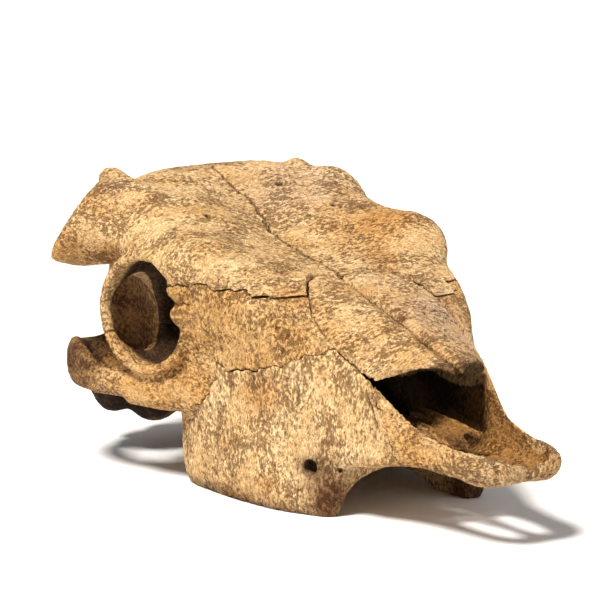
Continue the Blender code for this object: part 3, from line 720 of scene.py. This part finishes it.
def nasal_edges(y, count=40, inner=None):
    """Points across one nasal bone, left side: its upper and its lower line. The upper line falls by
    a parabola towards the cheek and dips beside the midline, by a decaying exponential."""
    width, top, fall = nasal_size(y)
    inner = inner or 1.1 + 1.1 * np.clip((150 - y) / 60, 0, 1)
    x = np.linspace(inner, max(width, inner + 3), count)
    upper = top - fall * (x / 46)**2 - 3.6 * np.exp(-(x - inner) / 3.5)
    thick = NASAL_THICKNESS * (1 - 0.35 * (x / width)**4)
    return x, upper, upper - thick


def nasal(name, sign, bites):
    """One nasal bone: a long arched plate, pointed in front beside the midline, with its bites."""
    rings = []
    for y in NASAL_STATIONS:
        x, upper, lower = nasal_edges(y)
        ring = np.vstack([np.column_stack([x, upper]), np.column_stack([x, lower])[::-1]])
        rings.append(np.column_stack([ring[:, 0] * sign, np.full(len(ring), y), ring[:, 1]]))
    bone = loft(name, rings)
    return boolean(bone, [ellipsoid("bite", centre, size, turn=turn) for centre, size, turn in bites])


nasals = {
    "nasal_right": nasal("nasal_right", -1, [((-30, 96, 103), (5, 7, 12), 25), ((-40, 106, 98), (4, 5, 9), 0),
                                             ((-17, 87, 106), (4, 5, 9), 10)]),
    "nasal_left": nasal("nasal_left", 1, [((16, 84, 106), (6, 6, 12), -15), ((41, 112, 99), (3, 4, 8), 0)])}
print("nasal bones:", {name: len(bone.data.polygons) for name, bone in nasals.items()}, "faces")

# %% The bed that the nasal bones lie in
NASAL_GAP = 0.8


def nasal_bed():
    """All that lies above the nasal bones' undersides, larger than both of them by a gap."""
    rings = []
    for y in NASAL_STATIONS:
        x, upper, lower = nasal_edges(y, inner=1.6)
        under = np.column_stack([[0, *x, x[-1] + NASAL_GAP], [lower[0], *lower, lower[-1]]]) - (0, NASAL_GAP)
        half = np.vstack([under, (under[-1, 0], 230)])
        ring = np.vstack([half, (half * (-1, 1))[:0:-1]])
        rings.append(np.column_stack([ring[:, 0], np.full(len(ring), y), ring[:, 1]]))
    rings[0][:, 1] -= 4
    rings[-1][:, 1] += NASAL_GAP
    return loft("bed", rings)


boolean(rest, [nasal_bed()])

# %% Vomer


def vomer():
    """The keel's upper strip, with a broken scroll of bone beside it. Half section of the strip: trough
    on the midline, ridge, outer edge, underside."""
    scroll = tube("scroll", [(2, 138, 66), (5, 118, 65), (8, 98, 63), (13, 76, 59)],
                  [(2, 4), (3, 4.5), (2.4, 4), (4, 2.4)])
    strip = symmetric_body("strip", {
        78: [(0, 53.5), (3, 55.5), (6.5, 54), (6.8, 52), (5, 50.5), (0, 50.2)],
        84: [(0, 55), (3.8, 58.5), (7.6, 56), (7.8, 53), (5.5, 51), (0, 50.6)],
        100: [(0, 57), (4.2, 61.5), (7.4, 58.5), (7.2, 54), (5, 52), (0, 51.5)],
        126: [(0, 59.5), (3.2, 64), (5.6, 61), (5.4, 55), (3.5, 52.5), (0, 52)],
        150: [(0, 61.5), (2.4, 65.5), (4, 63), (3.9, 56.5), (2.4, 53.6), (0, 53.2)],
        176: [(0, 64), (1.6, 66.5), (2.8, 65), (2.8, 58.6), (1.6, 57.4), (0, 57.2)]}, step=2, count=60)
    return blended("vomer", [strip, scroll], 0.8, 1)


nasals["vomer"] = vomer()

# %% [markdown]
# ## Where the skull is out of true
#
# No skull is quite even. The left cheek and brow of this one stand a little further out, and so does
# the left tooth row's front end. Each is a smooth shift of all points near a place, made before the
# bones are parted, so that neighbours still fit.

# %% Uneven places on the left side
OUT_OF_TRUE = (               # where the left side lies off the right one's mirror image:
    ((66, 178, 118), (42, 66, 50), (8, 0, 7)),     # middle, reach and shift of the cheek's upper edge
    ((108, 256, 160), (34, 32, 34), (8, 0, 7)),    # of the brow over the eye
    ((57, 150, 4), (16, 16, 24), (5, -9, 0)))      # and of the tooth row's front end


def out_of_true(form):
    """Shifts the uneven places of the left side: each shift fades by exp(-distance^2), with the
    distance counted in reaches from its middle."""
    points = np.array([v.co for v in form.data.vertices]) / MM
    moved = points.copy()
    for middle, reach, shift in OUT_OF_TRUE:
        distance = (((points - middle) / reach)**2).sum(axis=1)
        moved += np.exp(-distance)[:, None] * shift
    form.data.vertices.foreach_set("co", (moved * MM).ravel())


for form in (rest, nasals["nasal_left"], nasals["nasal_right"]):
    out_of_true(form)

# %% [markdown]
# ## Parting the skull along its sutures
#
# The bones of a skull meet in sutures, and on this old skull they have opened into dark wavy cracks.
# A bone is given by its outline in side view. The outline is made a block that reaches across the
# skull, the bone is what lies inside the block, and the rest is what lies outside a block that is a
# hairline larger. The outline is roughened first by a few waves of falling size, so that both sides
# of a suture follow the same wavy line.

# %% Outlines
SUTURE = 0.5
CHEEK_DEPTH = 62              # cheekbone and arch lie outside this distance from the midline
HORN_ROOT = (90, 358, 171)    # where the horn core grows from the forehead
HORN_WAY = (0.85, 0.52, 0.08)
PREMAXILLA = [(-30, 0), (-30, 130), (60, 130), (108, 130), (114, 96), (110, 82), (101, 66), (94, 52),
              (84, 40), (78, 20), (70, 0)]
FRONTAL = [(176, 230), (176, 150), (178, 131), (190, 135), (200, 138), (215, 141), (229, 142), (239, 144),
           (251, 143), (262, 140), (290, 138), (310, 126), (322, 104), (334, 100), (347, 104), (352, 126),
           (366, 140), (392, 142), (402, 156), (404, 196), (402, 230), (300, 232)]
LACRIMAL = [(147, 119), (151, 142), (176, 170), (262, 170), (266, 140), (265, 122), (258, 104), (240, 95),
            (222, 89), (204, 91), (186, 95), (170, 101), (160, 106), (151, 111)]
ZYGOMATIC = [(250, 128), (238, 110), (232, 96), (238, 76), (262, 52), (300, 30), (340, 34), (352, 60),
             (347, 80), (354, 112), (330, 122), (300, 128)]
PALATINE = [(262, -20), (262, 44), (284, 58), (304, 92), (334, 96), (344, 60), (342, -20)]
MAXILLA = [(-40, -40), (-40, 190), (60, 200), (256, 190), (262, 130), (290, 104), (304, 70), (304, -40),
           (150, -50)]


def suture_waves(curve, seed):
    """Sideways steps along a closed curve: a sum of sines of its running length, each with a random
    phase, that are smaller the shorter they are."""
    draw = np.random.default_rng(seed)
    length = np.concatenate([[0], np.cumsum(np.linalg.norm(np.diff(curve, axis=0), axis=1))])
    waves = np.zeros(len(curve))
    for wave, size in ((23, 0.9), (11, 0.7), (6.3, 0.45), (3.7, 0.3)):
        waves += size * np.sin(2 * math.pi * length / wave + draw.uniform(0, 2 * math.pi))
    return waves


def outline_prism(name, outline, x_from, x_to, grow, seed):
    """A closed side-view outline, smoothed, roughened, pushed out by a hairline and extruded."""
    curve = catmull_rom(outline, 24 * len(outline), True)
    ahead = np.roll(curve, -1, axis=0) - np.roll(curve, 1, axis=0)
    ahead /= np.linalg.norm(ahead, axis=1)[:, None]
    area = 0.5 * np.sum(curve[:, 0] * np.roll(curve[:, 1], -1) - np.roll(curve[:, 0], -1) * curve[:, 1])
    outwards = np.column_stack([ahead[:, 1], -ahead[:, 0]]) * np.sign(area)
    curve = curve + outwards * (grow + suture_waves(curve, seed))[:, None]
    low, high = sorted((x_from, x_to))
    return loft(name, [np.column_stack([np.full(len(curve), x), curve]) for x in (low - grow, high + grow)])


def horn_region(sign, grow=0.0):
    """A short round block whose flat inner face crosses the root of one horn core."""
    way = np.array(HORN_WAY) / np.linalg.norm(HORN_WAY)
    front = np.cross(way, (0, 0, 1))
    front /= np.linalg.norm(front)
    up = np.cross(front, way)
    turn = np.linspace(0, 2 * math.pi, 24, endpoint=False)
    rings = [np.array(HORN_ROOT) + way * reach + (44 + grow) * (np.outer(np.cos(turn), front)
                                                                 + np.outer(np.sin(turn), up))
             for reach in (-grow, 70)]
    return loft("block", np.array(rings) * (sign, 1, 1))


# %% Cutting the bones apart


def largest(obj):
    """Only the largest closed surface of an object stays."""
    b = bmesh.new()
    b.from_mesh(obj.data)
    left = set(b.verts)
    shells = []
    while left:
        start = left.pop()
        shell, edge = {start}, [start]
        while edge:
            for e in edge.pop().link_edges:
                for v in e.verts:
                    if v in left:
                        left.remove(v)
                        shell.add(v)
                        edge.append(v)
        shells.append(shell)
    shells.sort(key=len)
    for shell in shells[:-1]:
        bmesh.ops.delete(b, geom=list(shell), context="VERTS")
    b.to_mesh(obj.data)
    b.free()
    return obj


def parted(rest, name, region, gap):
    """One bone inside a region is taken from the rest, with a gap left between them."""
    bone = bpy.data.objects.new(name, rest.data.copy())
    bpy.context.scene.collection.objects.link(bone)
    boolean(bone, [region(0)], "INTERSECT")
    boolean(rest, [region(gap)])
    return largest(bone)


HORN_GAP = 0.3


def bones_of_one_side(rest, side, sign):
    """The bones of the right or the left half, each taken from what is left of the whole."""
    mid = SUTURE / 2
    places = {"frontal": (FRONTAL, mid, 200, 0.5, 1), "premaxilla": (PREMAXILLA, mid, 200, 0.2, 2),
              "zygomatic": (ZYGOMATIC, CHEEK_DEPTH, 200, -0.5, 3), "lacrimal": (LACRIMAL, 40, 200, 0.1, 4),
              "palatine": (PALATINE, mid, 43, 0.3, 5), "maxilla": (MAXILLA, mid, 200, -0.2, 6)}
    horn = "horn_core_" + side
    bones = {horn: parted(rest, horn, lambda grow: horn_region(sign, grow), HORN_GAP)}
    for name, (outline, inner, outer, gap, seed) in places.items():

        def region(grow):
            """The bone's block. Where it starts at the midline, the block that is cut from the rest
            reaches across the midline's suture, so that nothing stays in it."""
            start = grow - mid if grow and inner == mid else inner
            return outline_prism(name, outline, sign * start, sign * outer, grow, seed)

        bones[f"{name}_{side}"] = parted(rest, f"{name}_{side}", region, gap)
    return bones


bones = {**bones_of_one_side(rest, "left", 1), **bones_of_one_side(rest, "right", -1), **nasals}
rest.name = "braincase"
bones["braincase"] = largest(rest)
print(len(bones), "bones:", sorted(bones))

# %% [markdown]
# ## Fine skins with worn edges
#
# Each bone gets its final skin alone: a grid of about a millimetre, softened a little. That rounds the
# edges along the sutures as wear does, so every suture becomes a small groove between two bones. The
# horn core grows from the frontal bone without a seam in a live animal, so those two become one piece.

# %% One fine skin for each bone
FINE_GRID = 1.08
COARSER = {"braincase": 1.4, "frontal": 1.15}


def bone_kind(name):
    return name.removesuffix("_left").removesuffix("_right")


skins = {}
for name in sorted(bones):
    kind = bone_kind(name)
    if kind == "horn_core":
        continue
    parts = [bones[name]]
    if kind == "frontal":
        parts.append(bones[name.replace("frontal", "horn_core")])
    skins[name] = blended("bone_" + name, parts, COARSER.get(kind, FINE_GRID), 1)
print("fine skins:", {name: len(skin.data.polygons) for name, skin in skins.items()})

# %% [markdown]
# ## The wandering midline
#
# The suture between the two frontal bones is never straight. It wanders from side to side, with small
# teeth. All points near it are shifted sideways by the same rule, so that the two bones keep meeting.

# %% Wander of the midline
MIDLINE_WANDER = {155: 0, 240: 0, 261: -2.5, 280: -3.5, 296: -5, 312: 0.5, 334: 4, 341: 1, 346: -1.5,
                  354: -3.5, 366: -5, 380: -2, 400: 0}


def ramp(value, start, end):
    """From 0 at the start to 1 at the end, level at both: 3t^2 - 2t^3."""
    t = np.clip((value - start) / (end - start), 0, 1)
    return t * t * (3 - 2 * t)


def wandering(points):
    """Points on the roof of the skull, shifted sideways with the midline: fully beside it and fading
    by exp(-distance^2) over 14 mm."""
    wander = np.interp(points[:, 1], list(MIDLINE_WANDER), list(MIDLINE_WANDER.values()))
    wander += 0.6 * np.sin(points[:, 1] / 1.9) + 0.5 * np.sin(points[:, 1] / 1.1 + 2)
    wander *= np.exp(-(points[:, 0] / 14)**2) * ramp(points[:, 2], 120, 140) * ramp(points[:, 1], 212, 222)
    moved = points.copy()
    moved[:, 0] += wander
    return moved


# %% [markdown]
# ## Noise for weathering
#
# Weathered bone is eaten by chance, but not evenly: pits gather in patches, run with the grain of the
# bone and are of all sizes. Two kinds of noise give that. Value noise puts a random number on each
# corner of a lattice and blends between them. Cell noise puts one point at random in each cell, and
# the distance to the nearest one makes round pits. Every number comes from a fixed scramble of the
# cell's indices, so the skull is the same each time.

# %% Noise on whole arrays of points


def scrambled(cells, seed):
    """A number from 0 to 1 for each cell: its three indices are multiplied by large odd numbers and
    mixed by exclusive or and shifts."""
    c = cells.astype(np.int64).astype(np.uint32)
    h = c[:, 0] * np.uint32(73856093) ^ c[:, 1] * np.uint32(19349663) ^ c[:, 2] * np.uint32(83492791)
    h = h ^ np.uint32(seed * 2654435761 % 2**32)
    for shift, factor in ((15, 2246822519), (13, 3266489917)):
        h = (h ^ (h >> np.uint32(shift))) * np.uint32(factor)
    return (h ^ (h >> np.uint32(16))) / 2.0**32


def lattice_noise(points, size, seed):
    """Value noise from -1 to 1 with cells of one size: the eight corners are weighted by 3t^2 - 2t^3."""
    q = points / size
    cell = np.floor(q)
    f = q - cell
    f = f * f * (3 - 2 * f)
    total = np.zeros(len(points))
    for corner in itertools.product((0, 1), repeat=3):
        weight = np.prod(np.where(corner, f, 1 - f), axis=1)
        total += weight * scrambled(cell + corner, seed)
    return 2 * total - 1


def fractal(points, size, seed, octaves=3):
    """Layers of value noise, each with half the size and half the height of the one before."""
    layers = [lattice_noise(points, size / 2**k, seed + k) / 2**k for k in range(octaves)]
    return sum(layers) / (2 - 2.0**(1 - octaves))


def cell_pits(points, size, seed):
    """Round pits from 0 at the rim to 1 at the middle, one in each cell, at a random place and with a
    random radius: 1 - (distance / radius)^2, the deepest of the 27 cells around a point."""
    q = points / size
    home = np.floor(q)
    deepest = np.zeros(len(points))
    for step in itertools.product((-1, 0, 1), repeat=3):
        cell = home + step
        middle = cell + 0.15 + 0.7 * np.column_stack([scrambled(cell, seed + k) for k in range(3)])
        radius = 0.12 + 0.42 * scrambled(cell, seed + 3)**1.5
        gone = ((q - middle)**2).sum(axis=1)
        deepest = np.maximum(deepest, 1 - gone / radius**2)
    return deepest


# %% [markdown]
# ## Pits, cracks, stains and painted light
#
# Weather works on the outside. The skin of each bone is pushed inwards along its normals by broad
# dents, by pits that follow the grain, and by cracks along given lines. The same numbers also tint the
# bone, so that a pit is darker where it is deeper. Painted shade darkens the hollows of nose, eye and
# temples, the low parts of the fine relief, the holes and the places under the arches and the base,
# and a painted cool tint stands for the sky's light on some faces. The tint is kept as a colour on
# each point, which the material reads.

# %% Grain and colours of the bones
GRAIN = {              # noise is stretched along the axes with small numbers
    "frontal": (0.6, 1, 1), "nasal": (0.65, 1, 0.9), "maxilla": (1, 1, 0.6), "lacrimal": (1, 0.9, 0.7),
    "zygomatic": (1, 0.65, 1), "premaxilla": (1, 0.65, 1), "palatine": (1, 0.8, 0.8),
    "braincase": (0.8, 1, 0.8), "vomer": (1, 0.5, 1)}
CREAM = np.array([0.86, 0.60, 0.31])
TAN = np.array([0.64, 0.36, 0.125])
ORANGE = np.array([0.54, 0.25, 0.058])
GREY = np.array([0.45, 0.33, 0.21])
# a painted cool tint of the sky's light
SKY_TINT_LILAC = np.array([0.55, 0.38, 0.27])
BROWN = np.array([0.17, 0.075, 0.025])
# near black: painted shade deep in hollows, in holes and under the skull, and the dark of cracks
DEEP_SHADE_AND_CRACKS = np.array([0.028, 0.013, 0.006])
CREAMY = {             # share of cream over tan
    "maxilla": 0.70, "frontal": 0.62, "nasal": 0.50, "lacrimal": 0.20, "premaxilla": 0.24,
    "zygomatic": 0.16, "palatine": 0.3, "braincase": 0.25, "vomer": 0.1}
# Real stains, and patches of painted shade and of a painted cool sky tint, as marked below.
STAINS_AND_PAINTED_LIGHT = [             # middle, reach and strength of each patch, by tint
    (ORANGE, (62, 275, 165), (34, 30, 24), 0.75), (ORANGE, (-112, 350, 190), (14, 20, 16), 0.7),
    (ORANGE, (-70, 176, 118), (20, 14, 12), 0.35), (ORANGE, (-96, 262, 128), (12, 12, 18), 0.4),
    # painted shade round the right nerve hole in the second patch
    (BROWN, (-56, 145, 10), (16, 14, 26), 1.6), (BROWN, (-60, 156, 30), (9, 12, 12), 0.5),
    # painted shade along the bottom of the right tooth row in the first patch
    (BROWN, (-70, 230, -2), (40, 80, 9), 1.2), (BROWN, (-118, 368, 168), (10, 12, 40), 0.35),
    (BROWN, (-101, 366, 193), (7, 10, 9), 0.8),
    # lilac patches here and on the next line: a painted cool tint of the sky's light on the left side and on
    # the right horn's top
    (SKY_TINT_LILAC, (40, 330, 190), (40, 34, 24), 0.7), (SKY_TINT_LILAC, (40, 150, 125), (34, 60, 30), 0.7),
    (SKY_TINT_LILAC, (-100, 345, 200), (14, 14, 10), 0.5), (GREY, (0, 20, 50), (60, 34, 30), 0.65),
    # painted shade in the hollow under the right arch in the first patch
    (BROWN, (-120, 366, 72), (22, 32, 34), 1.2), (TAN * 0.8, (-96, 225, 122), (24, 44, 24), 0.7),
    # painted shade in the right nerve hole and in the right temple's hollow
    (DEEP_SHADE_AND_CRACKS, (-57, 161, 33), (8, 10, 6), 1.5), (BROWN, (-66, 375, 96), (26, 42, 46), 1.1),
    # painted shade in the left temple's hollow and under the right arch
    (BROWN, (66, 375, 96), (26, 42, 46), 1.1), (DEEP_SHADE_AND_CRACKS, (-100, 376, 80), (16, 18, 12), 1.3),
    # painted shade under the skull's base on both sides
    (DEEP_SHADE_AND_CRACKS, (-60, 396, 38), (42, 44, 27), 2), (DEEP_SHADE_AND_CRACKS, (60, 396, 38), (42, 44, 27), 2),
    # painted shade on the front end of the left tooth row in the first patch
    (BROWN, (60, 146, 8), (20, 20, 30), 2), (BROWN, (0, 85, 104), (30, 7, 12), 0.9),
    (BROWN, (-36, 103, 98), (12, 7, 10), 0.8), (BROWN, (30, 98, 98), (12, 8, 10), 1.0)]


def mixed(colour, other, amount):
    """Part of the way from one colour to another, point by point."""
    amount = np.clip(amount, 0, 1)[:, None]
    return colour * (1 - amount) + other * amount


# %% How deep inside a hollow each point lies
NOSE_HALF_WIDTH = {8: 14, 24: 25, 60: 31, 92: 36, 114: 41, 136: 38, 165: 36, 200: 30, 232: 22, 254: 11}


def inside_nose(points, normals):
    """1 in the nose's passage, where walls face its axis, and 0 outside, with a second value that
    grows from 0 in the muzzle's bowl to 1 where no light comes."""
    x, y, z = points.T
    facing = -(x * normals[:, 0] + (z - 82) * normals[:, 2]) / np.hypot(x, z - 82).clip(1)
    width = np.interp(y, list(NOSE_HALF_WIDTH), list(NOSE_HALF_WIDTH.values()))
    within = (z > 40) & (z < 142) & (y > 12) & (y < 268) & (np.abs(x) < width + 1)
    floor = ramp(-np.abs(x), -24, -10) * ramp(-z, -66, -52) * ramp(y, 26, 60) * 0.8
    return within * ramp(facing, -0.1, 0.3), np.maximum(ramp(y, 92, 146), floor)


def inside_eye(points):
    """1 in the eye socket, by distance from its axis and depth behind the rim."""
    centre, back, up, out = orbit_frame()
    q = np.column_stack([np.abs(points[:, 0]), points[:, 1:]]) - centre
    radial = np.hypot(q @ back / ORBIT_HALF[0], q @ up / ORBIT_HALF[1])
    depth = -(q @ out)
    return (radial < 1.12) * ramp(depth, 2, 12), ramp(depth, 10, 44) * ramp(-(q @ back), -16, 2)


# %% Cracks that are not sutures
CRACKS = [             # points, half width and depth
    ([(-84, 205, 120), (-80, 196, 112), (-82, 188, 104)], 0.7, 0.8),
    ([(-60, 310, 186), (-40, 302, 182), (-30, 306, 181)], 0.7, 0.7),
    ([(20, 352, 200), (12, 340, 196), (16, 330, 192)], 0.8, 1.0),
    ([(-30, 196, 144), (-34, 176, 140), (-32, 160, 136)], 0.6, 0.6),
    ([(-46, 118, 84), (-46, 108, 68), (-47, 101, 57)], 0.8, 1.0),
    ([(104, 233, 152), (96, 231, 145), (84, 228, 142)], 1.0, 2.0)]
FORAMINA = [((31, 339, 191), 2.6), ((0, 317, 175), 1.6), ((-52, 300, 178), 2.2), ((50, 300, 178), 2.2)]


def line_distance(points, line):
    """Distance from each point to a line of straight pieces."""
    line = np.asarray(line, float)
    nearest = np.full(len(points), 1e9)
    for a, b in zip(line[:-1], line[1:]):
        along_line = np.clip((points - a) @ (b - a) / ((b - a) @ (b - a)), 0, 1)
        nearest = np.minimum(nearest, np.linalg.norm(points - a - along_line[:, None] * (b - a), axis=1))
    return nearest


# %% Weathering of one bone
DENT_HEIGHT = 0.55     # all in millimetres of skin pushed in or out
WORN_DOWN = 0.3
PIT_DEPTH = 1.0
FINE_HEIGHT = 0.45
MIDLINE_DEPTH = 0.55
FORAMEN_DEPTH = 1.6
SHELTER = 0.6          # share of the pits that the hollows of nose and eye are spared


def read_points(mesh):
    """A mesh's points and normals as arrays, in millimetres on the skull."""
    points = np.empty(3 * len(mesh.vertices), np.float32)
    mesh.vertices.foreach_get("co", points)
    normals = np.empty(3 * len(mesh.vertices), np.float32)
    mesh.vertex_normals.foreach_get("vector", normals)
    return points.reshape(-1, 3) / MM, normals.reshape(-1, 3).astype(float)


def weathered(bone, kind):
    """Pushes the bone's skin in by dents, pits and cracks, and keeps a colour for each point."""
    points, normals = read_points(bone.data)
    off_midline = np.abs(points[:, 0])
    beside_midline = (kind == "frontal") * ramp(-off_midline, -1.5, -0.4) * ramp(points[:, 2], 130, 140)
    points = wandering(points)
    grained = points * GRAIN[kind]
    dents = fractal(points, 34, 3, 2)
    eaten = ramp(fractal(points, 26, 7, 3), -0.42, 0.38)
    round_pits = cell_pits(grained, 4.4, 11)
    furrows = ramp(fractal(grained, 3.4, 23, 3), 0.12, 0.62)
    pit = np.maximum(0.8 * round_pits * (0.2 + 0.8 * eaten), furrows * (0.2 + 0.8 * eaten))
    pit *= 0.75 if kind == "frontal" else 1
    nose, nose_depth = inside_nose(points, normals)
    eye, eye_depth = inside_eye(points)
    sheltered = np.maximum(nose, eye)
    pit = pit * (1 - SHELTER * sheltered)
    crack = MIDLINE_DEPTH * beside_midline
    strayed = points + 0.8 * np.column_stack([lattice_noise(points, 4, 60 + k) for k in range(3)])
    for line, half_width, depth in CRACKS:
        crack = np.maximum(crack, depth * np.exp(-(line_distance(strayed, line) / half_width)**2))
    for middle, radius in FORAMINA:
        away = np.linalg.norm(points - middle, axis=1)
        crack = np.maximum(crack, FORAMEN_DEPTH * ramp(-away, -1.6 * radius, -0.5 * radius))
    fine = fractal(grained, 3.2, 41, 2)
    push = DENT_HEIGHT * dents - WORN_DOWN - PIT_DEPTH * pit - crack + FINE_HEIGHT * fine
    points = points + normals * push[:, None]
    points[:, 2] = np.maximum(points[:, 2], 0)

    mottle = fractal(grained, 13, 51, 3)
    colour = mixed(np.tile(TAN, (len(points), 1)), CREAM, CREAMY[kind] + 0.55 * mottle)
    colour = mixed(colour, ORANGE, 0.6 * ramp(fractal(points, 38, 71, 3), 0.08, 0.6))
    for tint, middle, reach, strength in STAINS_AND_PAINTED_LIGHT:
        distance = (((points - middle) / reach)**2).sum(axis=1)
        colour = mixed(colour, tint, strength * np.exp(-distance) * (0.8 + 0.5 * mottle))
    # Darker in the pits, by their depth; where the fine relief lies low, painted shade.
    colour = mixed(colour, BROWN, 0.7 * pit - 0.4 * fine)
    # Painted shade on the nose passage's walls, which face its axis.
    colour = mixed(colour, ORANGE * 0.62, 0.85 * nose)
    # Painted shade in the eye socket.
    colour = mixed(colour, BROWN * 0.35, 0.95 * eye)
    # Painted shade, near black, deep in the nose and eye where no light comes.
    colour = mixed(colour, DEEP_SHADE_AND_CRACKS, np.maximum(nose * nose_depth, eye * eye_depth) * 0.92)
    # Dark cracks and sutures, and painted shade in the foramina's holes.
    colour = mixed(colour, DEEP_SHADE_AND_CRACKS, ramp(crack, 0.15, 0.9) * 0.85)
    return points, colour


def store(bone, points, colour):
    """Writes points in frame metres, and the colour as an attribute that the material reads."""
    mesh = bone.data
    mesh.vertices.foreach_set("co", ((points + TO_FRAME) * MM).astype(np.float32).ravel())
    tint = mesh.attributes.new("bone_colour", "FLOAT_COLOR", "POINT")
    tint.data.foreach_set("color", np.column_stack([colour, np.ones(len(colour))]).astype(np.float32).ravel())
    mesh.shade_smooth()
    mesh.update()


for name, skin in skins.items():
    store(skin, *weathered(skin, bone_kind(name)))
print("weathered", len(skins), "bones")

# %% [markdown]
# ## Dry, porous bone
#
# The points of the skin lie a millimetre apart, so what is finer is left to the material: hair-fine
# pits that gather where the skin is eaten, a dust-like speckle, the bump that goes with them, and a
# painted highlight that brightens the raised grain. Dry bone has no gloss to speak of. The pattern
# reads Object coordinates, stretched along the grain as the modelled pits are.

# %% Bone material
GRIT, GATHERED, SPECKLE = 480, 55, 1000       # noise scales: grains in a metre
BUMP_HEIGHT = 0.9                             # mm
ROUGHNESS, SHINE = 0.85, 0.25


def bone_material(name, grain):
    """Colour and pits from the points, with finer pits from thresholded noise, a light speckle and a painted
    highlight on the raised grit.
    """
    made = bpy.data.materials.new(name)
    made.use_nodes = True
    tree = made.node_tree
    shader = tree.nodes["Principled BSDF"]

    def node(kind, **values):
        new = tree.nodes.new(kind)
        for key, value in values.items():
            setattr(new, key, value)
        return new

    def noise(scale, detail, roughness):
        new = node("ShaderNodeTexNoise")
        new.inputs["Scale"].default_value = scale
        new.inputs["Detail"].default_value = detail
        new.inputs["Roughness"].default_value = roughness
        tree.links.new(mapping.outputs["Vector"], new.inputs["Vector"])
        return new.outputs["Fac"]

    def math_node(operation, a, b):
        new = node("ShaderNodeMath", operation=operation)
        for socket, value in zip(new.inputs, (a, b)):
            if isinstance(value, (int, float)):
                socket.default_value = value
            else:
                tree.links.new(value, socket)
        return new.outputs[0]

    def between(value, low, high, to_low, to_high):
        new = node("ShaderNodeMapRange")
        new.interpolation_type = "SMOOTHSTEP"
        for key, number in (("From Min", low), ("From Max", high), ("To Min", to_low), ("To Max", to_high)):
            new.inputs[key].default_value = number
        tree.links.new(value, new.inputs["Value"])
        return new.outputs["Result"]

    def tinted(colour, factor, amount):
        new = node("ShaderNodeMix", data_type="RGBA", blend_type="MULTIPLY")
        tree.links.new(colour, new.inputs["A"])
        new.inputs["B"].default_value = (*factor, 1)
        tree.links.new(amount, new.inputs["Factor"])
        return new.outputs["Result"]

    place = node("ShaderNodeTexCoord")
    mapping = node("ShaderNodeMapping")
    mapping.inputs["Scale"].default_value = grain
    tree.links.new(place.outputs["Object"], mapping.inputs["Vector"])
    colour = node("ShaderNodeAttribute", attribute_name="bone_colour").outputs["Color"]

    grit = noise(GRIT, 5, 0.7)
    gathered = noise(GATHERED, 3, 0.55)
    level = math_node("ADD", grit, math_node("MULTIPLY", math_node("SUBTRACT", gathered, 0.5), 0.6))
    hair_pits = between(level, 0.36, 0.50, 1, 0)
    speckle = noise(SPECKLE, 3, 0.7)
    result = tinted(colour, (0.36, 0.27, 0.19), math_node("MULTIPLY", hair_pits, 0.8))
    result = tinted(result, (0.40, 0.31, 0.22), between(speckle, 0.34, 0.56, 0.85, 0))
    # Painted highlight: the raised grit, which the bump also lifts, is brightened.
    result = tinted(result, (1.6, 1.65, 1.75), between(grit, 0.46, 0.70, 0, 1))
    tree.links.new(result, shader.inputs["Base Color"])

    height = math_node("ADD", math_node("MULTIPLY", hair_pits, -0.5), math_node("MULTIPLY", grit, 2.6))
    height = math_node("ADD", height, math_node("MULTIPLY", speckle, 0.5))
    bump = node("ShaderNodeBump")
    bump.inputs["Strength"].default_value = 1.0
    bump.inputs["Distance"].default_value = BUMP_HEIGHT * MM
    tree.links.new(height, bump.inputs["Height"])
    tree.links.new(bump.outputs["Normal"], shader.inputs["Normal"])
    shader.inputs["Roughness"].default_value = ROUGHNESS
    shader.inputs["Specular IOR Level"].default_value = SHINE
    return made


finishes = {kind: bone_material("dry_bone_" + kind, grain) for kind, grain in GRAIN.items()}
for name, skin in skins.items():
    skin.data.materials.clear()
    skin.data.materials.append(finishes[bone_kind(name)])
print("finishes:", sorted(finishes))

# %% [markdown]
# ## Each bone in its place
#
# Nothing on a skull moves, so every bone rides on the one body. Each stands for the CAD bone of the
# same name, which is hidden, and the frontal bones also stand for the horn cores that grow from them.

# %% Riding and replacing
for name, skin in skins.items():
    kind = bone_kind(name)
    nodes = [name]
    if kind == "frontal":
        nodes.append(name.replace("frontal", "horn_core"))
    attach(skin, "root")
    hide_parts(*nodes)
print({name: len(skin.data.polygons) for name, skin in skins.items()})
